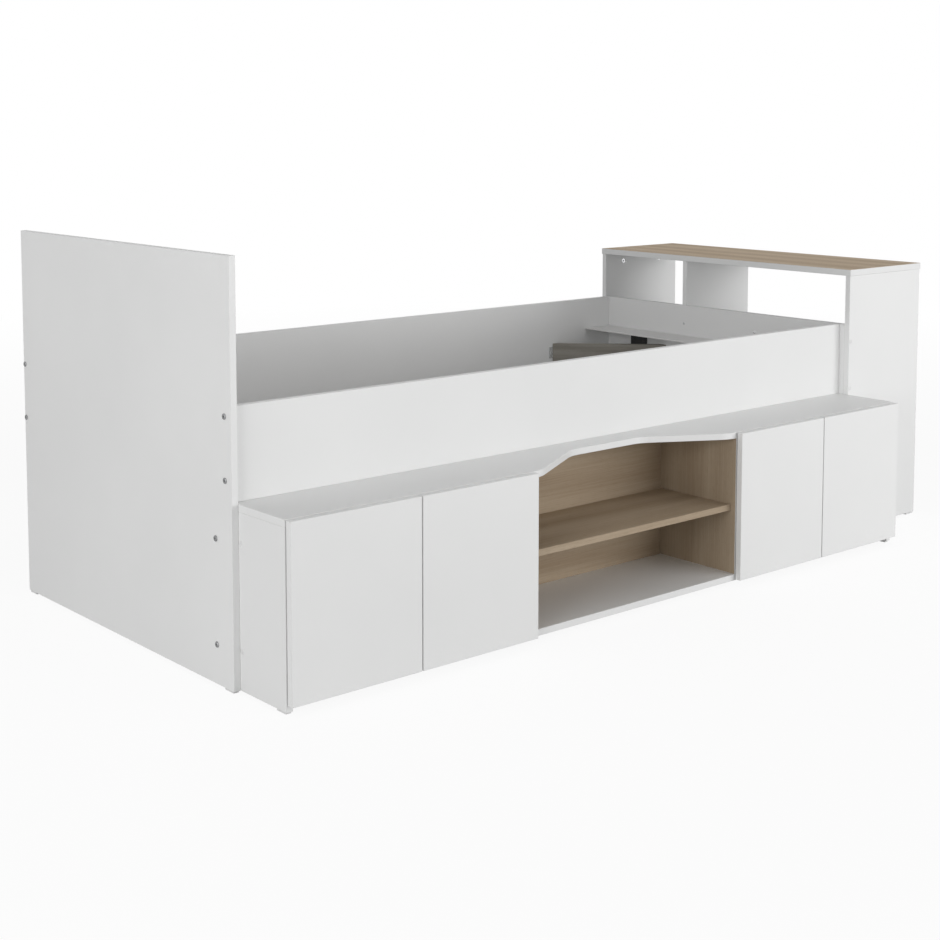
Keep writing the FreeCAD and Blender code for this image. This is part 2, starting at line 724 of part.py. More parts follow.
def make_latch_plunger(free, way):
    start = latch_axis(free, way)
    start.y = Y_DOOR[1] + STRIKE_THICK + TOUCH_PLAY
    return rod(start, ALONG_Y, PLUNGER_RADIUS, PLUNGER_LENGTH)


def make_strike(free, way):
    start = latch_axis(free, way)
    start.y = Y_DOOR[1]
    return rod(start, ALONG_Y, STRIKE_RADIUS, STRIKE_THICK)


def make_floor_glides():
    glides = []
    y_bench = (Y_BENCH[0] + GLIDE_INSET, Y_BENCH[1] - GLIDE_INSET - GLIDE_LENGTH)
    y_foot = (GLIDE_INSET, FOOT_WIDTH - GLIDE_INSET - GLIDE_LENGTH)
    for middle, places in (
        (X_FOOT / 2, y_foot),
        (sum(X_LEFT_SIDE) / 2, y_bench),
        (sum(X_RIGHT_SIDE) / 2, y_bench),
    ):
        for y in places:
            x = (middle - GLIDE_WIDTH / 2, middle + GLIDE_WIDTH / 2)
            glides.append(board(x, (y, y + GLIDE_LENGTH), (0, GLIDE_HEIGHT), GLIDE_EDGE))
    for middle in (-BOARD / 2, FOOT_WIDTH + BOARD / 2):
        for x in (X_HEAD + GLIDE_INSET, X_END - GLIDE_INSET - GLIDE_LENGTH):
            y = (middle - GLIDE_WIDTH / 2, middle + GLIDE_WIDTH / 2)
            glides.append(board((x, x + GLIDE_LENGTH), y, (0, GLIDE_HEIGHT), GLIDE_EDGE))
    return Part.makeCompound(glides)


def make_bench_feet():
    feet = []
    for x in (sum(X_LEFT_PARTITION) / 2, sum(X_RIGHT_PARTITION) / 2):
        for y in (Y_BENCH[0] + FOOT_INSET, Y_BENCH[1] - FOOT_INSET):
            start = FreeCAD.Vector(x, y, 0)
            feet.append(Part.makeCone(FOOT_RADIUS - FOOT_TAPER, FOOT_RADIUS, BENCH_UNDERSIDE, start))
    return Part.makeCompound(feet)


def make_pieces():
    pieces = {
        "foot_panel": make_foot_panel(),
        "front_rail": make_rail(Y_FRONT_RAIL, (BENCH_HEIGHT, RAIL_TOP)),
        "rear_rail": make_rail(Y_REAR_RAIL, Z_HEAD_PANEL),
        "rail_bolts": make_rail_bolts(),
        "barrel_nuts": make_barrel_nuts(),
        "head_panel": make_head_panel(),
        "head_ledge": make_ledge(),
        "ledge_brackets": make_ledge_brackets(),
        "corner_braces": make_corner_braces(),
        "brace_plates": make_brace_plates(),
        "head_front_side": make_head_front_side(),
        "head_rear_side": make_head_rear_side(),
        "head_top": make_head_top(),
        "head_shelf": make_head_shelf(),
        "head_bottom": make_head_bottom(),
        "head_back": make_head_back(),
        "head_partition": make_head_partition(),
        "head_screws": make_head_screws(),
        "screw_caps": make_screw_caps(),
        "cam_locks": make_cam_locks(),
        "bench_left_side": make_bench_left_side(),
        "bench_right_side": make_bench_right_side(),
        "bench_left_partition": make_bench_partition(X_LEFT_PARTITION, X_NICHE[0], ALONG_X),
        "bench_right_partition": make_bench_partition(X_RIGHT_PARTITION, X_NICHE[1], -ALONG_X),
        "bench_top": make_bench_top(),
        "bench_bottom": make_bench_bottom(),
        "bench_left_back": make_bay_back((X_FOOT, X_LEFT_PARTITION[1])),
        "bench_right_back": make_bay_back((X_RIGHT_PARTITION[0], X_HEAD)),
        "niche_back": make_niche_back(),
        "niche_shelf": make_niche_shelf(),
        "shelf_pins": make_shelf_pins(),
        "bench_bolts": make_bench_bolts(),
        "sleeve_nuts": make_sleeve_nuts(),
        "bench_screws": make_bench_screws(),
        "hole_plugs": make_hole_plugs(),
        "hinge_arms": on_hinge_faces(hinge_arm()),
        "hinge_plates": on_hinge_faces(hinge_plate()),
        "latch_bodies": make_latch_bodies(),
        "floor_glides": make_floor_glides(),
        "bench_feet": make_bench_feet(),
    }
    for number, (x_range, hinged, free, way, face) in enumerate(doors(), start=1):
        pieces["door_%d" % number] = make_door(x_range, hinged, way)
        pieces["hinge_cups_%d" % number] = make_hinge_cups(hinged, way)
        pieces["strike_%d" % number] = make_strike(free, way)
        pieces["latch_plunger_%d" % number] = make_latch_plunger(free, way)
    return pieces


os.makedirs("parts", exist_ok=True)
for name, shape in make_pieces().items():
    shape.translate(-ORIGIN)
    shape.exportStep("parts/%s.step" % name)
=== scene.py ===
# %% [markdown]
# Kids bed with a storage bench in front and an open bookcase at its head.
# The boards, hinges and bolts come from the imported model, which is a fixed frame.
# This lesson gives every board its finish, and adds the small things that a joiner sees up close:
# screw heads, bolt sockets, caps, nails and the moving links of the hinges.

# %% Load the frame
import json
import math

import bmesh
import bpy
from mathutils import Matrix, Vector


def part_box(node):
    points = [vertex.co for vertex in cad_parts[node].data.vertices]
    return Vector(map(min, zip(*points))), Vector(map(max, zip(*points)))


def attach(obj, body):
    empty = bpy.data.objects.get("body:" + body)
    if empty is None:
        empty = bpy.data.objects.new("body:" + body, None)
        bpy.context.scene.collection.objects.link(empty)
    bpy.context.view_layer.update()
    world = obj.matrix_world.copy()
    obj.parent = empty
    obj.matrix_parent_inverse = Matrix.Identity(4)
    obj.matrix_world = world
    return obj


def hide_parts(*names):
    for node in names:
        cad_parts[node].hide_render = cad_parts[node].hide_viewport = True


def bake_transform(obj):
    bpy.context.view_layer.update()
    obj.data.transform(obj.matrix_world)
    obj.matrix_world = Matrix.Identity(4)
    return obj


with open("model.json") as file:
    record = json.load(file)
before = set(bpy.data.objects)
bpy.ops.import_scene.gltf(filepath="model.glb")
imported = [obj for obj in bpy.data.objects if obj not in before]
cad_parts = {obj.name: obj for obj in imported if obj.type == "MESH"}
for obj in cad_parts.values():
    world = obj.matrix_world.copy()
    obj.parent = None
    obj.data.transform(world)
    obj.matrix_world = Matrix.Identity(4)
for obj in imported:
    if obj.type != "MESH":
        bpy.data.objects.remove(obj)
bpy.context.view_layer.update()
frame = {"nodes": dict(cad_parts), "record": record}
nodes = frame["nodes"]
scene = bpy.context.scene

# %% [markdown]
# The camera. The photograph was taken with the lens lowered against the sensor, which keeps upright
# edges nearly parallel. Part of that is copied with the lens shift, and the rest with a small tilt,
# so that the bed stays inside the picture from other sides as well.

# %% Camera
SENSOR_WIDTH, LENS = 36.0, 61.64
LENS_SHIFT = -0.22
CAMERA_PLACE = (-2.93065, -3.17858, 1.19271)
CAMERA_TILT, CAMERA_TURN = 0.09042, -0.70666
camera_data = bpy.data.cameras.new("photo_camera")
camera_data.sensor_width = SENSOR_WIDTH
camera_data.lens = LENS
camera_data.shift_y = LENS_SHIFT
camera = bpy.data.objects.new("photo_camera", camera_data)
camera.location = CAMERA_PLACE
camera.rotation_euler = (math.pi / 2 - CAMERA_TILT, 0, CAMERA_TURN)
scene.collection.objects.link(camera)
scene.camera = camera
scene.view_settings.view_transform = "Standard"
print("camera lens in mm:", LENS, "shift:", LENS_SHIFT)

# %% [markdown]
# Studio light. White boards show their form only when the light is uneven, so one large soft box
# stands low in front of the doors, a weaker one faces the foot panel, and the sky is a plain grey.
# Rays that show the background, straight to the camera or mirrored in metal, meet a white sky
# instead. A few helpers come first, because the sky, the floor and every finish are built of nodes.


# %% Node helpers
def plug(tree, socket, value):
    if isinstance(value, bpy.types.NodeSocket):
        tree.links.new(value, socket)
    else:
        socket.default_value = value


def add_node(tree, kind, settings=None, **sockets):
    made = tree.nodes.new(kind)
    for key, value in (settings or {}).items():
        setattr(made, key, value)
    for key, value in sockets.items():
        plug(tree, made.inputs[key.replace("_", " ")], value)
    return made


def fill_node(tree, kind, settings, values):
    # As add_node, for nodes whose sockets share a name: the values go in by their order
    made = add_node(tree, kind, settings)
    for socket, value in zip(made.inputs, values):
        plug(tree, socket, value)
    return made.outputs[0]


def math_node(tree, operation, *values):
    return fill_node(tree, "ShaderNodeMath", {"operation": operation}, values)


def vector_node(tree, operation, *values):
    return fill_node(tree, "ShaderNodeVectorMath", {"operation": operation}, values)


def span_node(tree, value, low, high, to_low=0.0, to_high=1.0):
    return fill_node(tree, "ShaderNodeMapRange", {"clamp": True}, (value, low, high, to_low, to_high))


def between(tree, share, first, second):
    return span_node(tree, share, 0.0, 1.0, first, second)


def object_place(tree):
    return add_node(tree, "ShaderNodeTexCoord").outputs["Object"]


# %% Mixing and noise
MIX_SOCKETS = {"FLOAT": (0, 2, 3, 0), "RGBA": (0, 6, 7, 2)}


def mix_node(tree, kind, share, first, second):
    # A Mix node holds sockets for every kind of value, so the right ones are picked by number
    made = add_node(tree, "ShaderNodeMix", {"data_type": kind})
    *entries, result = MIX_SOCKETS[kind]
    for entry, value in zip(entries, (share, first, second)):
        plug(tree, made.inputs[entry], value)
    return made.outputs[result]


def mix_value(tree, share, first, second):
    return mix_node(tree, "FLOAT", share, first, second)


def mix_colour(tree, share, first, second):
    return mix_node(tree, "RGBA", share, first, second)


def noise_node(tree, vector, scale, detail=2.0, roughness=0.5):
    sockets = {"Vector": vector, "Scale": scale, "Detail": detail, "Roughness": roughness}
    return add_node(tree, "ShaderNodeTexNoise", {"noise_dimensions": "3D"}, **sockets).outputs


# %% Sky
WHITE = (1.0, 1.0, 1.0, 1.0)
SKY_LEVEL = 0.4


def seen_rays(tree):
    rays = add_node(tree, "ShaderNodeLightPath").outputs
    through = math_node(tree, "MAXIMUM", rays["Is Camera Ray"], rays["Is Transmission Ray"])
    return math_node(tree, "MAXIMUM", through, rays["Is Glossy Ray"])


sky = bpy.data.worlds.new("studio")
scene.world = sky
sky.use_nodes = True
sky.node_tree.nodes.clear()
level = between(sky.node_tree, seen_rays(sky.node_tree), SKY_LEVEL, 1.0)
backdrop = add_node(sky.node_tree, "ShaderNodeBackground", Color=WHITE, Strength=level)
add_node(sky.node_tree, "ShaderNodeOutputWorld", Surface=backdrop.outputs[0])
print("sky level:", SKY_LEVEL)


# %% Soft boxes
def soft_box(name, place, target, width, height, power):
    data = bpy.data.lights.new(name, "AREA")
    data.shape = "RECTANGLE"
    data.size = width
    data.size_y = height
    data.energy = power
    lamp = bpy.data.objects.new(name, data)
    lamp.location = place
    lamp.rotation_euler = (Vector(target) - Vector(place)).to_track_quat("-Z", "Y").to_euler()
    scene.collection.objects.link(lamp)
    print(name, "watts:", power)


soft_box("front_soft_box", (2.9, -5.6, 1.45), (0.1, 0, 0.4), width=5.0, height=2.4, power=181.0)
soft_box("foot_soft_box", (-5.9, -2.15, 1.5), (-1.0, 0, 0.4), width=3.0, height=2.4, power=119.0)

# %% [markdown]
# The floor is one wide plane. What shows of it is nearly all plain white, and a small share of lit
# paint keeps the soft shadow of the bed. That share fades out a few metres away, so that no line
# shows where floor and sky meet. Other rays meet a pale grey paint, which throws light back under
# the boards as a real floor does.

# %% Floor
FLOOR_HALF = 40.0
FLOOR_BOUNCE = 0.7
SHADOW_FADE, SHADOW_WHITE = (2.0, 6.0), 0.91
floor_mesh = bpy.data.meshes.new("studio_floor")
corners = [(x * FLOOR_HALF, y * FLOOR_HALF, 0.0) for x, y in ((-1, -1), (1, -1), (1, 1), (-1, 1))]
floor_mesh.from_pydata(corners, [], [(0, 1, 2, 3)])
floor = bpy.data.objects.new("studio_floor", floor_mesh)
scene.collection.objects.link(floor)
floor_finish = bpy.data.materials.new("pale_floor")
floor_finish.use_nodes = True
tree = floor_finish.node_tree
tree.nodes.clear()
seen = seen_rays(tree)
paint = add_node(tree, "ShaderNodeBsdfDiffuse", Color=between(tree, seen, FLOOR_BOUNCE, 1.0))
white = add_node(tree, "ShaderNodeEmission", Color=WHITE, Strength=1.0)
spread = add_node(tree, "ShaderNodeVectorMath", {"operation": "LENGTH"}, Vector=object_place(tree))
fade = span_node(tree, spread.outputs["Value"], *SHADOW_FADE, SHADOW_WHITE, 1.0)
blend = add_node(tree, "ShaderNodeMixShader", Fac=math_node(tree, "MULTIPLY", seen, fade))
tree.links.new(paint.outputs[0], blend.inputs[1])
tree.links.new(white.outputs[0], blend.inputs[2])
add_node(tree, "ShaderNodeOutputMaterial", Surface=blend.outputs[0])
floor_mesh.materials.append(floor_finish)
print("floor half width in metres:", FLOOR_HALF)

# %% [markdown]
# Shared effects. Several finishes need the same few things: the tone of a moulded or pressed
# surface, a mask along a broken edge, which carries painted shade on white boards and rubbed wear
# with a painted highlight on coatings, and the figure of wood. Each one is a node group, built once,
# that puts out values for the material to use.


# %% Edge mask: one on broken edges, nought on flat faces
def start_tree(kind, name, inputs, outputs):
    tree = bpy.data.node_groups.new(name, kind)
    for way, sockets in (("INPUT", inputs), ("OUTPUT", outputs)):
        for title, content in sockets.items():
            tree.interface.new_socket(name=title, in_out=way, socket_type="NodeSocket" + content)
    return tree, tree.nodes.new("NodeGroupInput").outputs, tree.nodes.new("NodeGroupOutput").inputs


EDGE_SPAN = (0.75, 0.98)
edge_group, _, edge_out = start_tree("ShaderNodeTree", "broken_edges", {}, {"Mask": "Float"})
surface = add_node(edge_group, "ShaderNodeNewGeometry")
settings = {"vector_type": "NORMAL", "convert_from": "WORLD", "convert_to": "OBJECT"}
local = add_node(edge_group, "ShaderNodeVectorTransform", settings, Vector=surface.outputs["True Normal"])
unsigned = vector_node(edge_group, "ABSOLUTE", local.outputs[0])
axes = add_node(edge_group, "ShaderNodeSeparateXYZ", Vector=unsigned).outputs
largest = math_node(edge_group, "MAXIMUM", axes["X"], axes["Y"])
largest = math_node(edge_group, "MAXIMUM", largest, axes["Z"])
plug(edge_group, edge_out["Mask"], span_node(edge_group, largest, *EDGE_SPAN, 1.0, 0.0))
print("shader group:", edge_group.name)

# %% Pressed surface: slow change of tone, fine grain
FINE_SHARE = 0.25
TONE_SPAN = (0.35, 0.9)
inputs = {"Vector": "Vector", "Grain": "Float", "Drift": "Float"}
outputs = {"Tone": "Float", "Height": "Float"}
pressed_group, pressed_in, pressed_out = start_tree("ShaderNodeTree", "pressed_surface", inputs, outputs)
place = pressed_in["Vector"]
slow = noise_node(pressed_group, place, pressed_in["Drift"], detail=3.0, roughness=0.55)[0]
fine = noise_node(pressed_group, place, pressed_in["Grain"], detail=2.0, roughness=0.6)[0]
both = math_node(pressed_group, "MULTIPLY_ADD", fine, FINE_SHARE, slow)
plug(pressed_group, pressed_out["Tone"], span_node(pressed_group, both, *TONE_SPAN))
plug(pressed_group, pressed_out["Height"], fine)
print("shader group:", pressed_group.name)

# %% Wood figure: rings, fibres, patches and pores along X
RING_STRETCH = (0.05, 1.0, 1.0)
SWAY_STRETCH, SWAY_WIDTH = (1.1, 5.0, 5.0), (0.0, 0.09, 0.09)
FIBRE_STRETCH = (5.0, 330.0, 330.0)
PATCH_STRETCH = (1.3, 11.0, 11.0)
PORE_STRETCH, PORE_SPAN, PORE_SHARE = (40.0, 1500.0, 1500.0), (0.6, 0.7), 0.35
RING_SHARE, FIBRE_SHARE, PATCH_SHARE = 0.3, 0.8, 0.6
FIGURE_SPAN = (0.5, 1.2)
WOOD_ROUGHNESS = (0.6, 0.76)
inputs = {"Vector": "Vector", "Rings": "Float", "Pale": "Color", "Dark": "Color", "Pore": "Color"}
outputs = {"Color": "Color", "Height": "Float", "Roughness": "Float"}
wood_group, wood_in, wood_out = start_tree("ShaderNodeTree", "wood_figure", inputs, outputs)


def along_grain(stretch):
    return vector_node(wood_group, "MULTIPLY", wood_in["Vector"], stretch)


sway = noise_node(wood_group, along_grain(SWAY_STRETCH), 1.0)["Color"]
swayed = vector_node(wood_group, "MULTIPLY", sway, SWAY_WIDTH)
settings = {"wave_type": "BANDS", "bands_direction": "DIAGONAL", "wave_profile": "SIN"}
rings = add_node(
    wood_group,
    "ShaderNodeTexWave",
    settings,
    Vector=vector_node(wood_group, "ADD", along_grain(RING_STRETCH), swayed),
    Scale=wood_in["Rings"],
    Distortion=2.2,
    Detail=3.0,
    Detail_Scale=1.4,
)
fibre = noise_node(wood_group, along_grain(FIBRE_STRETCH), 1.0, detail=4.0, roughness=0.62)[0]
patch = noise_node(wood_group, along_grain(PATCH_STRETCH), 1.0)[0]
pores = noise_node(wood_group, along_grain(PORE_STRETCH), 1.0, detail=1.0)[0]
figure = math_node(wood_group, "MULTIPLY", rings.outputs["Fac"], RING_SHARE)
for layer, share in ((fibre, FIBRE_SHARE), (patch, PATCH_SHARE)):
    figure = math_node(wood_group, "ADD", figure, math_node(wood_group, "MULTIPLY", layer, share))
pit = span_node(wood_group, pores, *PORE_SPAN)
pit_share = math_node(wood_group, "MULTIPLY", pit, PORE_SHARE)
dark_share = span_node(wood_group, figure, *FIGURE_SPAN)
grain = mix_colour(wood_group, dark_share, wood_in["Pale"], wood_in["Dark"])
plug(wood_group, wood_out["Color"], mix_colour(wood_group, pit_share, grain, wood_in["Pore"]))
plug(wood_group, wood_out["Height"], math_node(wood_group, "SUBTRACT", fibre, pit))
plug(wood_group, wood_out["Roughness"], span_node(wood_group, figure, *FIGURE_SPAN, *WOOD_ROUGHNESS))
print("shader group:", wood_group.name)

# %% [markdown]
# Finishes. A finish starts from one shader, with its constant values set on the shader itself, and
# the groups above give what changes over the surface. White melamine has a fine pearl grain, and a
# slightly warmer, darker line of painted shade along its broken edges. Oak is printed in three tones,
# with painted shade in the niche and on its cheeks and painted light on the bookcase top, as the
# photograph shows it, and its dull varnish hardly shines.


# %% Start and dressing of a finish
def start_finish(name, metallic=0.0, specular=0.5):
    finish = bpy.data.materials.new(name)
    finish.use_nodes = True
    shader = finish.node_tree.nodes["Principled BSDF"]
    shader.inputs["Metallic"].default_value = metallic
    shader.inputs["Specular IOR Level"].default_value = specular
    return finish, finish.node_tree


def dress(tree, colour, roughness, height, strength, depth):
    shader = tree.nodes["Principled BSDF"]
    plug(tree, shader.inputs["Base Color"], colour)
    plug(tree, shader.inputs["Roughness"], roughness)
    bump = add_node(tree, "ShaderNodeBump", Strength=strength, Distance=depth, Height=height)
    tree.links.new(bump.outputs[0], shader.inputs["Normal"])


def use_group(tree, group, **sockets):
    made = tree.nodes.new("ShaderNodeGroup")
    made.node_tree = group
    for key, value in sockets.items():
        plug(tree, made.inputs[key], value)
    return made.outputs


def pressed_skin(tree, grain, drift):
    return use_group(tree, pressed_group, Vector=object_place(tree), Grain=grain, Drift=drift)


def edge_share(tree, share):
    return math_node(tree, "MULTIPLY", use_group(tree, edge_group)["Mask"], share)


# %% White melamine
WHITE_LOW = (0.775, 0.778, 0.775, 1.0)
WHITE_HIGH = (0.82, 0.822, 0.818, 1.0)
# Painted shade: a darker grey along the broken edges of the white boards stands in for the shade on the
# rounded edge
EDGE_SHADE_GREY, EDGE_SHADE_GREY_SHARE = (0.70, 0.70, 0.69, 1.0), 0.6
WHITE_ROUGHNESS = (0.5, 0.4)


def white_skin(tree):
    skin = pressed_skin(tree, grain=1100.0, drift=1.7)
    tone = mix_colour(tree, skin["Tone"], WHITE_LOW, WHITE_HIGH)
    # Painted shade along the broken edges
    colour = mix_colour(tree, edge_share(tree, EDGE_SHADE_GREY_SHARE), tone, EDGE_SHADE_GREY)
    return colour, between(tree, skin["Tone"], *WHITE_ROUGHNESS), skin["Height"]


white_melamine, tree = start_finish("white_melamine")
dress(tree, *white_skin(tree), strength=0.12, depth=0.0003)
print("finish:", white_melamine.name)

# %% Oak boards, and white boards with one oak face
OAK = {"Pale": (0.62, 0.50, 0.365), "Dark": (0.44, 0.335, 0.23), "Pore": (0.27, 0.19, 0.12)}
OAK_RINGS = 6.0
OAK_SHEEN = 0.15
# Painted shade darkens the oak of the niche and its cheeks, and painted light brightens the oak of the
# bookcase top
NICHE_PAINTED_SHADE, CHEEK_PAINTED_SHADE, TOP_PAINTED_LIGHT = 0.75, 0.64, 1.12
GRAIN_TURNS = {"X": (0, 0, 0), "Y": (0, 0, math.pi / 2), "Z": (0, math.pi / 2, 0)}
FACE_SKIN = 0.0004


def oak_skin(tree, grain_axis, offset, painted_light_scale):
    # The offset moves the figure, so that no two boards look cut from the same place
    sockets = {"Vector": object_place(tree), "Rotation": GRAIN_TURNS[grain_axis], "Location": offset}
    laid = add_node(tree, "ShaderNodeMapping", **sockets)
    # Painted light and shade: the three oak tones are scaled for each board
    colours = {part: (*(painted_light_scale * value for value in colour), 1) for part, colour in OAK.items()}
    return use_group(tree, wood_group, Vector=laid.outputs[0], Rings=OAK_RINGS, **colours)


def make_oak(name, grain_axis, offset):
    finish, tree = start_finish(name, specular=OAK_SHEEN)
    oak = oak_skin(tree, grain_axis, offset, NICHE_PAINTED_SHADE)
    dress(tree, oak["Color"], oak["Roughness"], oak["Height"], strength=0.18, depth=0.0004)
    return finish


def make_oak_faced(name, grain_axis, offset, painted_light_scale, axis, side, limit):
    # Oak where the place along the axis lies beyond the limit, white on the other faces
    finish, tree = start_finish(name, specular=OAK_SHEEN)
    colour, roughness, height = white_skin(tree)
    oak = oak_skin(tree, grain_axis, offset, painted_light_scale)
    split = add_node(tree, "ShaderNodeSeparateXYZ", Vector=object_place(tree))
    beyond = math_node(tree, side, split.outputs[axis], limit)
    colour = mix_colour(tree, beyond, colour, oak["Color"])
    roughness = mix_value(tree, beyond, roughness, oak["Roughness"])
    height = mix_value(tree, beyond, height, oak["Height"])
    dress(tree, colour, roughness, height, strength=0.15, depth=0.0003)
    return finish


niche_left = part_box("bench_left_partition")[1].x - FACE_SKIN
niche_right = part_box("bench_right_partition")[0].x + FACE_SKIN
top_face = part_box("head_top")[1].z - FACE_SKIN
left_cut, right_cut, top_cut = (0.1, 0.5, 0.9), (0.6, 0.1, 0.3), (0.2, 0.9, 0.5)
oak_finishes = {
    "niche_back": make_oak("oak_niche_back", "X", (0.0, 0.2, 0.1)),
    "niche_shelf": make_oak("oak_niche_shelf", "X", (0.3, 0.7, 0.4)),
    "bench_left_partition": make_oak_faced(
        "oak_left_face", "Z", left_cut, CHEEK_PAINTED_SHADE, "X", "GREATER_THAN", niche_left
    ),
    "bench_right_partition": make_oak_faced(
        "oak_right_face", "Z", right_cut, CHEEK_PAINTED_SHADE, "X", "LESS_THAN", niche_right
    ),
    "head_top": make_oak_faced("oak_bookcase_top", "Y", top_cut, TOP_PAINTED_LIGHT, "Z", "GREATER_THAN", top_face),
}
print("oak finishes:", len(oak_finishes))

# %% Brace wood and thin painted sheets
BRACE_WOOD = {"Pale": (0.3, 0.285, 0.25, 1), "Dark": (0.2, 0.185, 0.16, 1), "Pore": (0.12, 0.11, 0.09, 1)}
BRACE_RINGS = 14.0
SHEET_ROUGHNESS = 0.6


def grey(value, warm=0.0):
    return (value + warm, value, value - warm, 1.0)


def make_brace_wood():
    # The four braces mirror each other, so their places are folded into one quarter
    # before the grain is laid along the slanting board
    finish, tree = start_finish("plain_brace_wood")
    middle = sum(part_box("corner_braces"), Vector()) / 2
    centred = vector_node(tree, "SUBTRACT", object_place(tree), (middle.x, middle.y, 0.0))
    folded = vector_node(tree, "ABSOLUTE", centred)
    laid = add_node(tree, "ShaderNodeMapping", Vector=folded, Rotation=(0, 0, math.pi / 4))
    wood = use_group(tree, wood_group, Vector=laid.outputs[0], Rings=BRACE_RINGS, **BRACE_WOOD)
    dress(tree, wood["Color"], wood["Roughness"], wood["Height"], strength=0.3, depth=0.0005)
    return finish


def make_sheet():
    finish, tree = start_finish("painted_hardboard")
    skin = pressed_skin(tree, grain=420.0, drift=5.0)
    colour = mix_colour(tree, skin["Tone"], grey(0.665, 0.008), grey(0.725, 0.006))
    dress(tree, colour, SHEET_ROUGHNESS, skin["Height"], strength=0.3, depth=0.0004)
    return finish


# %% Metals and plastics
# Broken edges of coatings are lighter: partly rubbed wear, partly a painted highlight
RUBBED_AND_HIGHLIGHT_SHARE, RUBBED_AND_HIGHLIGHT_GAIN = 0.35, 1.25
COAT_DULLER, COAT_SMOOTHER = 0.08, 0.05


def make_metal(name, dark, pale, roughness):
    finish, tree = start_finish(name, metallic=1.0)
    skin = pressed_skin(tree, grain=2600.0, drift=90.0)
    colour = mix_colour(tree, skin["Tone"], dark, pale)
    dress(tree, colour, between(tree, skin["Tone"], *roughness), skin["Height"], strength=0.1, depth=0.0001)
    return finish


def make_coated(name, dark, pale, roughness, grain, strength):
    finish, tree = start_finish(name)
    skin = pressed_skin(tree, grain=grain, drift=35.0)
    tone = mix_colour(tree, skin["Tone"], grey(dark), grey(pale))
    # Lighter broken edges: rubbed wear and a painted highlight
    colour = mix_colour(tree, edge_share(tree, RUBBED_AND_HIGHLIGHT_SHARE), tone, grey(pale * RUBBED_AND_HIGHLIGHT_GAIN))
    rough = between(tree, skin["Tone"], roughness + COAT_DULLER, roughness - COAT_SMOOTHER)
    dress(tree, colour, rough, skin["Height"], strength, depth=0.0003)
    return finish


finishes = {
    "white_board": white_melamine,
    "brace_wood": make_brace_wood(),
    "back_sheet": make_sheet(),
    "steel": make_metal("zinc_plate", grey(0.58, -0.005), grey(0.8, -0.01), roughness=(0.34, 0.2)),
    "black_steel": make_coated("black_powder_coat", 0.012, 0.03, roughness=0.5, grain=1500.0, strength=0.35),
    "white_plastic": make_coated("white_moulding", 0.68, 0.78, roughness=0.38, grain=1200.0, strength=0.08),
    "grey_plastic": make_coated("grey_moulding", 0.3, 0.4, roughness=0.42, grain=1200.0, strength=0.12),
    "black_plastic": make_coated("black_moulding", 0.02, 0.045, roughness=0.45, grain=1200.0, strength=0.15),
}
dull_steel = make_metal("dull_nickel", grey(0.2, -0.002), grey(0.36, -0.004), roughness=(0.6, 0.42))
print("finishes:", len(bpy.data.materials))

# %% Dress the boards and fittings of the frame
slot_of = {row["node"]: row["material_slot"] for row in frame["record"]["subparts"]}
for name, node in nodes.items():
    finish = oak_finishes.get(name) or finishes[slot_of[name]]
    node.data.materials.clear()
    node.data.materials.append(finish)
print("dressed nodes:", len(nodes))

# %% [markdown]
# Turned pieces. Bolts, screws, caps, cams and feet are all made on a lathe or pressed round, and
# many have a socket in their face. A stack of rings gives such a shape: each ring is an outline at
# one height, and an outline may be round, six-sided, a slot or a cross. Sizes here are millimetres,
# and a height of nought is the face that the piece sits on.

# %% Rings and outlines
MM = 0.001
SIDES = 24
SHARP_ANGLE = 32.0
TINY = 1e-6


def rounds(*levels):
    return [("round", size, 0.0, height) for size, height in levels]


def recess(outline, *levels):
    return [(outline, size, width, height) for size, width, height in levels]


def reach(outline, turn, size, width):
    across = max(abs(math.cos(turn)), TINY)
    upright = max(abs(math.sin(turn)), TINY)
    if outline == "hex":
        return size / math.cos(turn % (math.pi / 3) - math.pi / 6)
    slot_reach = min(size / across, width / upright)
    if outline == "slot":
        return slot_reach
    if outline == "cross":
        return max(slot_reach, min(width / across, size / upright))
    return size


def ring_turns(rings, sides):
    # Even steps round the piece, and the corners of its slots and crosses
    turns = {round(2 * math.pi * step / sides, 6) for step in range(sides)}
    for outline, size, width, height in rings:
        corner = math.atan2(width, size)
        quarters = {"slot": 2, "cross": 4}.get(outline, 0)
        for quarter in range(quarters):
            start = 2 * math.pi * quarter / quarters
            turns |= {round((start + side * corner) % (2 * math.pi), 6) for side in (-1, 1)}
    return sorted(turns)


print("sides of a turned piece:", SIDES)


# %% From rings to a mesh
def skin_rows(shape, rows, closed=False):
    pairs = list(zip(rows, rows[1:])) + ([(rows[-1], rows[0])] if closed else [])
    for low_row, high_row in pairs:
        for step in range(len(low_row)):
            after = (step + 1) % len(low_row)
            shape.faces.new((low_row[step], low_row[after], high_row[after], high_row[step]))
    if not closed:
        shape.faces.new(list(reversed(rows[0])))
        shape.faces.new(rows[-1])


def shape_mesh(shape, name):
    mesh = bpy.data.meshes.new(name)
    shape.to_mesh(mesh)
    shape.free()
    return mesh


def turned(name, rings, sides=SIDES, closed=False):
    shape = bmesh.new()
    turns = ring_turns(rings, sides)
    rows = []
    for outline, size, width, height in rings:
        spans = [(turn, reach(outline, turn, size, width) * MM) for turn in turns]
        places = [(span * math.cos(turn), span * math.sin(turn), height * MM) for turn, span in spans]
        rows.append([shape.verts.new(place) for place in places])
    skin_rows(shape, rows, closed)
    for face in shape.faces:
        face.smooth = True
    mesh = shape_mesh(shape, name)
    mesh.set_sharp_from_angle(angle=math.radians(SHARP_ANGLE))
    return mesh


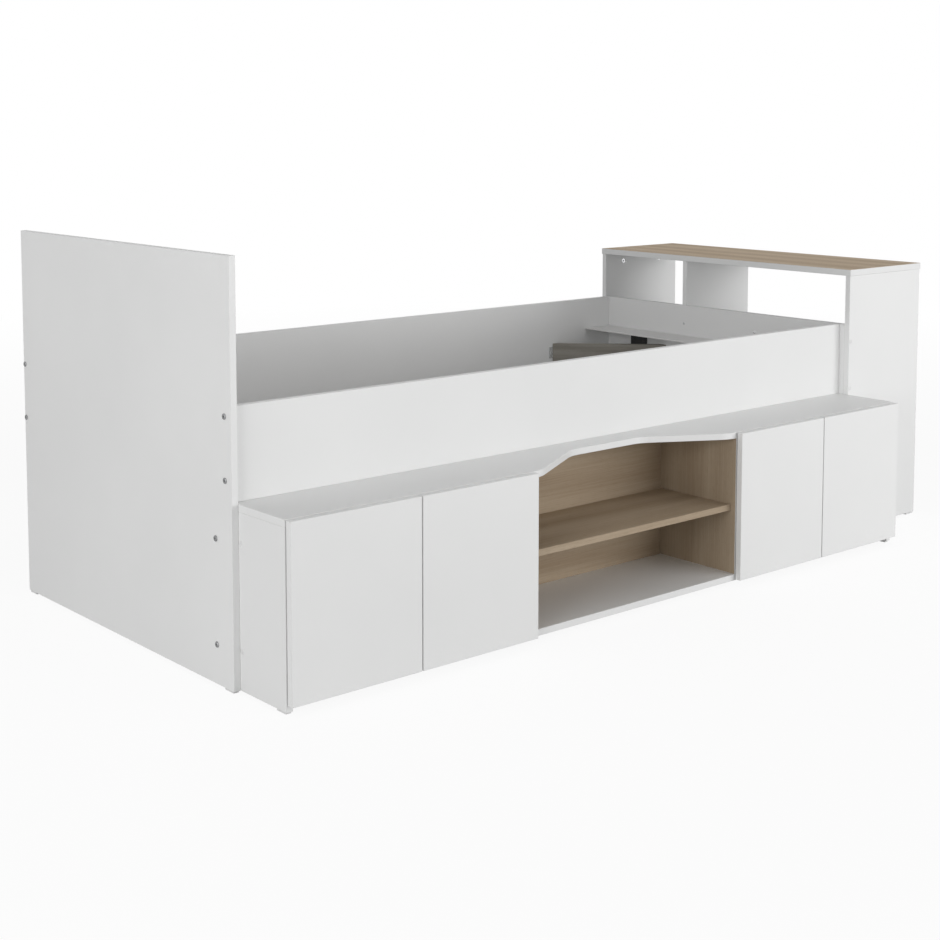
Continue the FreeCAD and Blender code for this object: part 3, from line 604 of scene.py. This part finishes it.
# %% [markdown]
# Placing them. One Geometry Nodes tree copies a piece to every point of a small mesh. Each point
# carries the way that its copy faces, and a random roll with a fixed seed turns the sockets
# differently, as they stand when a joiner has driven them home. The copies are made real and get
# their finish inside the tree, and the result is kept as one plain mesh.


# %% Tree: place a piece on points
def end_tree(tree, entries, exits, points, rotation):
    piece = add_node(tree, "GeometryNodeObjectInfo", Object=entries["Piece"])
    links = {"Points": points, "Instance": piece.outputs["Geometry"], "Rotation": rotation}
    copies = add_node(tree, "GeometryNodeInstanceOnPoints", **links)
    real = add_node(tree, "GeometryNodeRealizeInstances", Geometry=copies.outputs[0])
    links = {"Geometry": real.outputs[0], "Material": entries["Finish"]}
    plug(tree, exits["Geometry"], add_node(tree, "GeometryNodeSetMaterial", **links).outputs[0])


RANDOM_MIN, RANDOM_MAX, RANDOM_RESULT = 2, 3, 1
carried = {"Geometry": "Geometry", "Piece": "Object", "Finish": "Material"}
inputs = {**carried, "Roll": "Float", "Seed": "Int"}
outputs = {"Geometry": "Geometry"}
point_tree, point_in, point_out = start_tree("GeometryNodeTree", "place_on_points", inputs, outputs)
settings = {"data_type": "FLOAT_VECTOR"}
facing = add_node(point_tree, "GeometryNodeInputNamedAttribute", settings, Name="facing")
faced = add_node(point_tree, "FunctionNodeEulerToRotation", Euler=facing.outputs[0])
roll = add_node(point_tree, "FunctionNodeRandomValue", {"data_type": "FLOAT"}, Seed=point_in["Seed"])
plug(point_tree, roll.inputs[RANDOM_MIN], 0.0)
plug(point_tree, roll.inputs[RANDOM_MAX], point_in["Roll"])
angle = roll.outputs[RANDOM_RESULT]
spin = add_node(point_tree, "FunctionNodeAxisAngleToRotation", Axis=(0, 0, 1), Angle=angle)
turns = (faced.outputs[0], spin.outputs[0])
both = fill_node(point_tree, "FunctionNodeRotateRotation", {"rotation_space": "LOCAL"}, turns)
end_tree(point_tree, point_in, point_out, point_in["Geometry"], both)
print("placing tree:", point_tree.name)

# %% Tree: set a piece along a border
inputs = {**carried, "Spacing": "Float", "Facing": "Vector"}
border_tree, border_in, border_out = start_tree("GeometryNodeTree", "set_along_border", inputs, outputs)
line = add_node(border_tree, "GeometryNodeMeshToCurve", Mesh=border_in["Geometry"])
steps = add_node(border_tree, "GeometryNodeResampleCurve", {"mode": "LENGTH"}, Curve=line.outputs[0])
plug(border_tree, steps.inputs["Length"], border_in["Spacing"])
faced = add_node(border_tree, "FunctionNodeEulerToRotation", Euler=border_in["Facing"])
end_tree(border_tree, border_in, border_out, steps.outputs[0], faced.outputs[0])
print("placing tree:", border_tree.name)


# %% Running a tree and keeping the plain mesh
def settle(tree, base, piece_mesh, finish, **values):
    pattern = bpy.data.objects.new("pattern", piece_mesh)
    scene.collection.objects.link(pattern)
    carrier = bpy.data.objects.new("carrier", base)
    modifier = carrier.modifiers.new(tree.name, "NODES")
    modifier.node_group = tree
    values.update(Piece=pattern, Finish=finish)
    for item in tree.interface.items_tree:
        if item.in_out == "INPUT" and item.name in values:
            modifier[item.identifier] = values[item.name]
    scene.collection.objects.link(carrier)
    graph = bpy.context.evaluated_depsgraph_get()
    result = bpy.data.meshes.new_from_object(carrier.evaluated_get(graph))
    bpy.data.objects.remove(carrier)
    bpy.data.objects.remove(pattern)
    return result


def facing_turn(outward):
    return Vector(outward).to_track_quat("Z", "Y").to_euler()


def place_pieces(piece_mesh, finish, spots, roll=0.0, seed=1):
    base = bpy.data.meshes.new("spots")
    base.from_pydata([place for place, outward in spots], [], [])
    facing = base.attributes.new("facing", "FLOAT_VECTOR", "POINT")
    for item, (place, outward) in zip(facing.data, spots):
        item.vector = facing_turn(outward)
    return settle(point_tree, base, piece_mesh, finish, Roll=roll, Seed=seed)


# %% Keeping a piece
def join_meshes(name, meshes, finish):
    shape = bmesh.new()
    for mesh in meshes:
        shape.from_mesh(mesh)
    whole = shape_mesh(shape, name)
    whole.materials.append(finish)
    piece = bpy.data.objects.new(name, whole)
    scene.collection.objects.link(piece)
    print(name, "faces:", len(whole.polygons))
    return piece


def keep_piece(name, meshes, body, slot, *replaced, finish=None):
    piece = join_meshes(name, meshes, finish or finishes[slot])
    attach(piece, body)
    if replaced:
        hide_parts(*replaced)


def keep_placed(name, piece_mesh, spots, body, slot, *replaced, finish=None, **turning):
    finish = finish or finishes[slot]
    placed = place_pieces(piece_mesh, finish, spots, **turning)
    keep_piece(name, [placed], body, slot, *replaced, finish=finish)


# %% [markdown]
# Places. The frame gives every board's box, so each fitting is measured as a joiner does it: in
# millimetres from the outer face and front edge of the foot panel and from the floor, off the
# board that carries it.

# %% Measuring off the boards
foot_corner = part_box("foot_panel")[0]
measured_from = Vector((foot_corner.x, foot_corner.y, 0.0))
measured = {name: [(corner - measured_from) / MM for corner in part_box(name)] for name in nodes}


def at(x, y, z):
    return measured_from + Vector((x, y, z)) * MM


def near(node):
    return measured[node][0]


def far(node):
    return measured[node][1]


def mid(node):
    return (near(node) + far(node)) / 2


TO_FOOT, TO_HEAD = (-1, 0, 0), (1, 0, 0)
TO_FRONT, TO_BACK = (0, -1, 0), (0, 1, 0)
DOWN, UP = (0, 0, -1), (0, 0, 1)
bench_front, bench_back = near("bench_top").y, far("bench_top").y
print("front of the bench in mm:", round(bench_front, 2))

# %% [markdown]
# Bolts and nuts. The rails hang on connecting bolts: a wide flat head with a hexagon socket shows
# on the foot panel and inside the bookcase, and the thread runs into a barrel nut with a slot for
# turning it. The bench is held by shorter bolts in sleeve nuts. The bolts are dull nickel, because
# the photograph shows their heads dark. The other fittings are bright zinc, and only the brackets
# of the ledge and their screws are black.

# %% Bolts of the rails and the bench
RAIL_BOLT_DROP, RAIL_BOLT_RISE = 21.0, 47.0
BENCH_BOLT_DROP, BENCH_BOLT_RISE, BENCH_BOLT_BACK = 82.0, 91.0, 64.0
THREAD_START, THREAD_PITCH = 1.6, 2.0
LONG_BOLT, SHORT_BOLT = {"length": 56.5, "threads": 10}, {"length": 30.0, "threads": 6}
FULL_TURN, HALF_TURN = 2 * math.pi, math.pi


def bolt_rings(length, threads):
    rings = rounds((2.2, -length), (2.9, 0.8 - length))
    for step in range(threads):
        start = THREAD_START + THREAD_PITCH * step - length
        rings += rounds((2.5, start), (3.0, start + THREAD_PITCH / 2))
    rings += rounds((3.0, 0.0), (6.3, 0.0), (6.5, 0.3), (6.5, 1.5), (5.9, 2.2), (5.0, 2.5))
    return rings + recess("hex", (2.15, 0.0, 2.5), (2.0, 0.0, 2.2), (2.0, 0.0, 0.2))


rail_heights = (far("front_rail").z - RAIL_BOLT_DROP, near("front_rail").z + RAIL_BOLT_RISE)
rail_rows = (mid("front_rail").y, mid("rear_rail").y)
rail_ends = ((near("foot_panel").x, TO_FOOT), (far("head_panel").x, TO_HEAD))
rail_spots = [(at(x, y, z), way) for x, way in rail_ends for y in rail_rows for z in rail_heights]
long_bolt = turned("long_bolt", bolt_rings(**LONG_BOLT))
turning = {"roll": FULL_TURN, "seed": 3, "finish": dull_steel}
keep_placed("rail_bolts_turned", long_bolt, rail_spots, "frame", "steel", "rail_bolts", **turning)
bench_heights = (far("bench_top").z - BENCH_BOLT_DROP, BENCH_BOLT_RISE)
bench_spots = [(at(near("foot_panel").x, BENCH_BOLT_BACK, z), TO_FOOT) for z in bench_heights]
short_bolt = turned("short_bolt", bolt_rings(**SHORT_BOLT))
turning = {"roll": FULL_TURN, "seed": 5, "finish": dull_steel}
keep_placed("bench_bolts_turned", short_bolt, bench_spots, "frame", "steel", "bench_bolts", **turning)

# %% Barrel nuts and sleeve nuts
BARREL_FROM_END = 38.0
barrel_rings = rounds((4.6, -12.5), (5.0, -12.1), (5.0, -0.9), (4.7, -0.5))
barrel_rings += recess("slot", (3.5, 0.7, -0.5), (3.5, 0.7, -1.8))
barrel_nut = turned("barrel_nut", barrel_rings)
nut_places = (near("front_rail").x + BARREL_FROM_END, far("front_rail").x - BARREL_FROM_END)
nut_faces = (far("front_rail").y, far("rear_rail").y)
nut_spots = [(at(x, y, z), TO_BACK) for x in nut_places for y in nut_faces for z in rail_heights]
keep_placed("barrel_nuts_turned", barrel_nut, nut_spots, "frame", "steel", "barrel_nuts")
sleeve_rings = rounds((4.2, -12.0), (4.5, -11.6), (4.5, 0.0), (7.4, 0.0), (7.5, 0.2), (7.5, 1.2))
sleeve_rings += rounds((6.8, 1.8), (5.6, 2.0))
sleeve_rings += recess("hex", (2.1, 0.0, 2.0), (2.0, 0.0, 1.7), (2.0, 0.0, -2.0))
sleeve_nut = turned("sleeve_nut", sleeve_rings)
sleeve_spots = [(at(far("bench_left_side").x, BENCH_BOLT_BACK, z), TO_HEAD) for z in bench_heights]
turning = {"roll": HALF_TURN, "seed": 2}
keep_placed("sleeve_nuts_turned", sleeve_nut, sleeve_spots, "frame", "steel", "sleeve_nuts", **turning)

# %% [markdown]
# Screws, caps and cams. Carcass screws have a low pan head with a cross. Under the white caps sit
# headless screws with a hexagon socket. The caps are thin domes, the hole plugs have a dimple,
# and the round cam locks of the bookcase lie just below the face of the board.

# %% Carcass screws of the bookcase and the bench
SCREW_LENGTH, PANEL_SCREW_LENGTH, SCREW_POINT = 50.0, 13.0, 5.0
PARTITION_SCREW_DROP, PANEL_SCREW_FRONT = 57.0, 329.0
HEAD_SCREW_DROP, HEAD_SCREW_RISE = 49.0, 76.0


def screw_rings(length):
    rings = rounds((0.6, -length), (3.1, SCREW_POINT - length), (3.2, -1.0), (3.2, 0.0), (4.4, 0.0))
    rings += rounds((4.5, 0.2), (4.2, 0.7), (3.4, 1.1), (2.5, 1.2))
    return rings + recess("cross", (2.0, 0.55, 1.2), (1.2, 0.4, -0.9))


# The screw in line with the partition is long. The other one has only the head panel behind it.
carcass_screw = turned("carcass_screw", screw_rings(SCREW_LENGTH))
panel_screw = turned("panel_screw", screw_rings(PANEL_SCREW_LENGTH))
panel_face, panel_height = near("head_panel").x, far("head_panel").z - PARTITION_SCREW_DROP
partition_spots = [(at(panel_face, mid("head_partition").y, panel_height), TO_FOOT)]
panel_spots = [(at(panel_face, PANEL_SCREW_FRONT, panel_height), TO_FOOT)]
long_screws = place_pieces(carcass_screw, finishes["steel"], partition_spots, roll=HALF_TURN, seed=4)
short_screws = place_pieces(panel_screw, finishes["steel"], panel_spots, roll=HALF_TURN, seed=9)
set_rings = rounds((0.6, -SCREW_LENGTH), (3.1, SCREW_POINT - SCREW_LENGTH), (3.2, -0.5), (2.9, -0.1))
set_rings += recess("hex", (1.6, 0.0, -0.1), (1.6, 0.0, -2.5))
cap_heights = (far("head_panel").z - HEAD_SCREW_DROP, near("head_panel").z + HEAD_SCREW_RISE)
cap_faces = ((near("head_front_side").y, TO_FRONT), (far("head_rear_side").y, TO_BACK))
cap_spots = [(at(mid("head_panel").x, y, z), way) for y, way in cap_faces for z in cap_heights]
set_screw = turned("set_screw", set_rings)
set_screws = place_pieces(set_screw, finishes["steel"], cap_spots, roll=HALF_TURN, seed=6)
head_screws = [long_screws, short_screws, set_screws]
keep_piece("head_screws_turned", head_screws, "frame", "steel", "head_screws")
bench_row = mid("head_front_side").y
screw_spots = [(at(near("bench_right_side").x, bench_row, z), TO_FOOT) for z in bench_heights]
turning = {"roll": HALF_TURN, "seed": 7}
keep_placed("bench_screws_turned", carcass_screw, screw_spots, "frame", "steel", "bench_screws", **turning)

# %% Caps, plugs and cam locks
CAM_INSET, CAM_DROP, CAM_SWING = 84.0, 27.0, 1.2
dome = rounds((6.4, 0.0), (6.5, 0.15), (6.5, 0.4), (6.1, 0.8), (5.0, 1.15), (3.4, 1.4))
screw_cap = turned("screw_cap", dome + rounds((1.4, 1.5)))
keep_placed("screw_caps_domed", screw_cap, cap_spots, "frame", "white_plastic", "screw_caps")
hole_plug = turned("hole_plug", dome + rounds((2.2, 1.45), (1.9, 1.3), (1.0, 0.9)))
plug_spots = [(at(near("bench_left_side").x, bench_row, z), TO_FOOT) for z in bench_heights]
keep_placed("hole_plugs_domed", hole_plug, plug_spots, "frame", "white_plastic", "hole_plugs")
cam_rings = rounds((7.0, -12.0), (7.5, -11.5), (7.5, -0.45), (7.2, -0.15), (3.7, -0.15), (3.4, -0.6))
cam_rings += recess("cross", (3.3, 1.1, -2.4), (2.4, 0.8, -4.2))
cam_faces = (
    (far("head_front_side").y, TO_BACK),
    (near("head_rear_side").y, TO_FRONT),
    (far("head_partition").y, TO_BACK),
)
cam_places = (near("head_front_side").x + CAM_INSET, far("head_front_side").x - CAM_INSET)
cam_height = near("head_top").z - CAM_DROP
cam_spots = [(at(x, y, cam_height), way) for y, way in cam_faces for x in cam_places]
turning = {"roll": CAM_SWING, "seed": 8}
cam_lock = turned("cam_lock", cam_rings)
keep_placed("cam_locks_turned", cam_lock, cam_spots, "frame", "steel", "cam_locks", **turning)

# %% [markdown]
# Hinges and latches. Each concealed hinge has a plate screwed to the carcass, an arm with two
# setting screws, and a cup screwed into the door. Two bent links join arm and cup, and they fold
# into the cup when the door is shut. A touch latch has a collar round its sprung plunger, which
# presses on a small strike plate on the door.

# %% Screws of the hinges
HINGE_INSET = 80.0
PLATE_THICK, PLATE_SCREW_BACK, PLATE_SCREW_SIDE = 3.0, 37.0, 16.0
ARM_RISE, ARM_SCREW_BACKS = 13.5, (28.0, 51.0)
CUP_FROM_EDGE, CUP_SCREW_SIDE = 22.5, 21.2
small_rings = rounds((0.5, -12.0), (1.7, -9.0), (1.8, 0.0), (3.3, 0.0), (3.4, 0.15), (3.0, 0.6), (2.2, 0.8))
small_rings += recess("cross", (1.6, 0.45, 0.8), (0.9, 0.3, -0.6))
small_screw = turned("small_screw", small_rings)
hinge_heights = (near("door_1").z + HINGE_INSET, far("door_1").z - HINGE_INSET)
hinge_faces = (
    (far("bench_left_side").x, 1),
    (near("bench_left_partition").x, -1),
    (far("bench_right_partition").x, 1),
    (near("bench_right_side").x, -1),
)
plate_spots, arm_spots = [], []
for face, way in hinge_faces:
    for z in hinge_heights:
        plate_x, arm_x = face + PLATE_THICK * way, face + ARM_RISE * way
        for side in (-PLATE_SCREW_SIDE, PLATE_SCREW_SIDE):
            plate_spots.append((at(plate_x, bench_front + PLATE_SCREW_BACK, z + side), (way, 0, 0)))
        arm_spots += [(at(arm_x, bench_front + back, z), (way, 0, 0)) for back in ARM_SCREW_BACKS]
plate_screws = place_pieces(small_screw, finishes["steel"], plate_spots, roll=HALF_TURN, seed=11)
arm_screws = place_pieces(small_screw, finishes["steel"], arm_spots, roll=HALF_TURN, seed=12)
keep_piece("hinge_carcass_screws", [plate_screws, arm_screws], "frame", "steel")
cup_face = far("hinge_cups_1").y
cup_levels = [z + side for z in hinge_heights for side in (-CUP_SCREW_SIDE, CUP_SCREW_SIDE)]
for number, (face, way) in enumerate(hinge_faces, start=1):
    door = "door_%d" % number
    hung_edge = near(door).x if way > 0 else far(door).x
    spots = [(at(hung_edge + CUP_FROM_EDGE * way, cup_face, z), TO_BACK) for z in cup_levels]
    turning = {"roll": HALF_TURN, "seed": 20 + number}
    keep_placed("hinge_cup_screws_%d" % number, small_screw, spots, door, "steel", **turning)

# %% Links between arm and cup
LINK_STEPS, LINK_HALF_THICK, LINK_HALF_HEIGHT, LINK_WAIST = 14, 0.7, 5.0, 0.25
LINK_FROM_FRONT, LINK_LENGTH = 7.0, 7.0
LINK_OUTS, LINK_MIDDLE = (5.2, 8.2), 6.5
link_start = bench_front - LINK_FROM_FRONT
link_end = link_start - LINK_LENGTH


def link_strip(x, z):
    shape = bmesh.new()
    rows = []
    for step in range(LINK_STEPS + 1):
        share = step / LINK_STEPS
        y = link_start + (link_end - link_start) * share
        narrow = LINK_HALF_HEIGHT * (1.0 - LINK_WAIST * math.sin(math.pi * share))
        corners = [(dx * LINK_HALF_THICK, dz * narrow) for dx, dz in ((-1, -1), (1, -1), (1, 1), (-1, 1))]
        rows.append([shape.verts.new(at(x + dx, y, z + dz)) for dx, dz in corners])
    skin_rows(shape, rows)
    bmesh.ops.recalc_face_normals(shape, faces=shape.faces)
    return shape_mesh(shape, "link_strip")


for number, (face, way) in enumerate(hinge_faces, start=1):
    strips = [link_strip(face + out * way, z) for z in hinge_heights for out in LINK_OUTS]
    links = join_meshes("hinge_links_%d" % number, strips, finishes["steel"])
    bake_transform(links)

# %% Latch collars and screws
LATCH_FROM_EDGE = 26.0
LATCH_SCREWS_FROM_REAR = (16.0, 5.0)
latch_places = []
for number, (face, way) in enumerate(hinge_faces, start=1):
    door = "door_%d" % number
    free_edge = far(door).x if way > 0 else near(door).x
    latch_places.append(free_edge - LATCH_FROM_EDGE * way)
latch_height = mid("latch_bodies").z
collar_rings = rounds((4.2, 0.0), (6.3, 0.0), (6.3, 0.5), (5.7, 0.9), (4.4, 0.9))
collar = turned("latch_collar", collar_rings, closed=True)
collar_spots = [(at(x, near("latch_bodies").y, latch_height), TO_FRONT) for x in latch_places]
keep_placed("latch_collars", collar, collar_spots, "frame", "grey_plastic")
latch_under = near("latch_bodies").z
screw_rows = [far("latch_bodies").y - inset for inset in LATCH_SCREWS_FROM_REAR]
latch_spots = [(at(x, y, latch_under), DOWN) for x in latch_places for y in screw_rows]
turning = {"roll": HALF_TURN, "seed": 15}
keep_placed("latch_body_screws", small_screw, latch_spots, "frame", "steel", **turning)

# %% Plungers and strikes
plunger_rings = rounds((3.2, 0.0), (3.5, 0.4), (3.5, 18.8), (3.0, 19.2), (3.0, 20.0), (3.5, 20.4))
plunger_rings += rounds((3.5, 23.0), (3.1, 23.8), (2.3, 24.0), (1.5, 24.0), (1.2, 23.5))
plunger = turned("plunger", plunger_rings)
strike_rings = rounds((6.9, 0.0), (7.0, 0.2), (7.0, 0.6), (6.5, 1.0), (3.1, 1.0), (2.8, 0.7))
strike_rings += recess("cross", (1.6, 0.45, 0.7), (1.0, 0.3, 0.1))
strike = turned("strike", strike_rings)
for number, x in enumerate(latch_places, start=1):
    body, node = "plunger_%d" % number, "latch_plunger_%d" % number
    spots = [(at(x, far(node).y, latch_height), TO_FRONT)]
    keep_placed("plunger_turned_%d" % number, plunger, spots, body, "grey_plastic", node)
    body, node = "door_%d" % number, "strike_%d" % number
    spots = [(at(x, far(body).y, latch_height), TO_BACK)]
    turning = {"roll": HALF_TURN, "seed": 30 + number}
    keep_placed("strike_turned_%d" % number, strike, spots, body, "steel", node, **turning)

# %% [markdown]
# Inside and behind. The ledge brackets and the brace plates are screwed on, and the thin back
# sheets are nailed. Nails follow a border of the sheet at an even spacing, so the second tree lays
# them along its lines. The short feet of the bench are turned like the bolts, and the white glides
# under the boards are small pads with rounded edges, nailed on through their middle.

# %% Screws of the ledge brackets and the brace plates
BRACKET_SHARES = (0.152, 0.5, 0.848)
BRACKET_THICK, BRACKET_SCREW_SIDE, BRACKET_SCREW_RISE = 3.0, 20.0, 27.0
BRACE_PLATE_THICK, BRACE_SCREW_RUNS = 2.0, (228.4, 265.0)
clear_front, clear_back = far("front_rail").y, near("rear_rail").y
bracket_rows = [clear_front + (clear_back - clear_front) * share for share in BRACKET_SHARES]
bracket_rows = [row + side for row in bracket_rows for side in (-BRACKET_SCREW_SIDE, BRACKET_SCREW_SIDE)]
bracket_height = near("ledge_brackets").z + BRACKET_SCREW_RISE
bracket_spots = [(at(panel_face - BRACKET_THICK, y, bracket_height), TO_FOOT) for y in bracket_rows]
turning = {"roll": HALF_TURN, "seed": 13}
keep_placed("ledge_bracket_screws", small_screw, bracket_spots, "frame", "black_steel", **turning)
brace_height = mid("brace_plates").z
brace_spots = []
for x, along_x in ((far("foot_panel").x, 1), (panel_face, -1)):
    for y, along_y in ((clear_front, 1), (clear_back, -1)):
        plate_x, plate_y = x + BRACE_PLATE_THICK * along_x, y + BRACE_PLATE_THICK * along_y
        for run in BRACE_SCREW_RUNS:
            brace_spots.append((at(x + run * along_x, plate_y, brace_height), (0, along_y, 0)))
            brace_spots.append((at(plate_x, y + run * along_y, brace_height), (along_x, 0, 0)))
turning = {"roll": HALF_TURN, "seed": 14}
keep_placed("brace_plate_screws", small_screw, brace_spots, "frame", "steel", **turning)

# %% Nails of the back sheets
NAIL_SPACING = 0.11
NAIL_INSET = 8.0
NAIL_SIDES = 10
X_AXIS, Y_AXIS = 0, 1
# A bay's sheet is nailed all round, and the bookcase's only along its bottom board and shelf
ALL_ROUND = [(0, 1), (1, 2), (2, 3), (3, 0)]
LOW_AND_HIGH = [(0, 1), (2, 3)]
nail_rings = rounds((0.7, -6.0), (0.9, 0.0), (2.1, 0.0), (2.2, 0.2), (1.8, 0.45), (0.9, 0.55))
nail = turned("sheet_nail", nail_rings, sides=NAIL_SIDES)


def nail_sheet(node, across, edges, outward):
    inset = Vector((NAIL_INSET, NAIL_INSET, NAIL_INSET))
    ends = (near(node) + inset, far(node) - inset)
    corners = []
    for side, level in ((0, 0), (1, 0), (1, 1), (0, 1)):
        place = far(node).copy()
        place[across] = ends[side][across]
        place.z = ends[level].z
        corners.append(at(*place))
    border = bpy.data.meshes.new("border")
    border.from_pydata(corners, edges, [])
    facing = tuple(facing_turn(outward))
    return settle(border_tree, border, nail, finishes["steel"], Spacing=NAIL_SPACING, Facing=facing)


nails = [nail_sheet("head_back", Y_AXIS, LOW_AND_HIGH, TO_HEAD)]
nails += [nail_sheet(node, X_AXIS, ALL_ROUND, TO_BACK) for node in ("bench_left_back", "bench_right_back")]
keep_piece("back_sheet_nails", nails, "frame", "steel")

# %% Feet of the bench
FOOT_INSET, FOOT_SIDES = 92.0, 32
foot_rings = rounds((14.5, 0.0), (15.8, 0.6), (16.2, 3.0), (15.6, 3.6), (17.4, 11.0), (19.6, 12.0))
foot_rings += rounds((20.0, 12.6), (20.0, 17.0))
bench_foot = turned("bench_foot", foot_rings, sides=FOOT_SIDES)
foot_places = (mid("bench_left_partition").x, mid("bench_right_partition").x)
foot_rows = (bench_front + FOOT_INSET, bench_back - FOOT_INSET)
foot_spots = [(at(x, y, 0), UP) for x in foot_places for y in foot_rows]
keep_placed("bench_feet_turned", bench_foot, foot_spots, "frame", "black_plastic", "bench_feet")

# %% Glides under the upright boards
PAD_LEVELS = ((1.9, 0.0), (0.8, 0.4), (0.2, 1.2), (0.0, 2.2), (0.0, 5.0))
PAD_HALF_WIDTH, PAD_HALF_LENGTH = 6.5, 16.0
PAD_FROM_END, PAD_SIDES = 21.0, 16


def glide_pad(name, across, along):
    # The rings start in the sunk nail hole and come out round the edge of the pad
    rings = rounds((1.6, 1.0), (2.1, 0.5), (2.3, 0.0))
    rings += [("slot", across - trim, along - trim, height) for trim, height in PAD_LEVELS]
    return turned(name, rings, sides=PAD_SIDES)


def pad_spots(board, axis):
    spots = []
    for end in (near(board)[axis] + PAD_FROM_END, far(board)[axis] - PAD_FROM_END):
        place = mid(board)
        place[axis] = end
        spots.append((at(place.x, place.y, 0), UP))
    return spots


cross_boards = ("foot_panel", "bench_left_side", "bench_right_side")
long_boards = ("head_front_side", "head_rear_side")
cross_spots = [spot for board in cross_boards for spot in pad_spots(board, Y_AXIS)]
long_spots = [spot for board in long_boards for spot in pad_spots(board, X_AXIS)]
cross_pad = glide_pad("cross_pad", PAD_HALF_WIDTH, PAD_HALF_LENGTH)
long_pad = glide_pad("long_pad", PAD_HALF_LENGTH, PAD_HALF_WIDTH)
pads = []
for pad, spots in ((cross_pad, cross_spots), (long_pad, long_spots)):
    pads.append(place_pieces(pad, finishes["white_plastic"], spots))
keep_piece("floor_glides_rounded", pads, "frame", "white_plastic", "floor_glides")
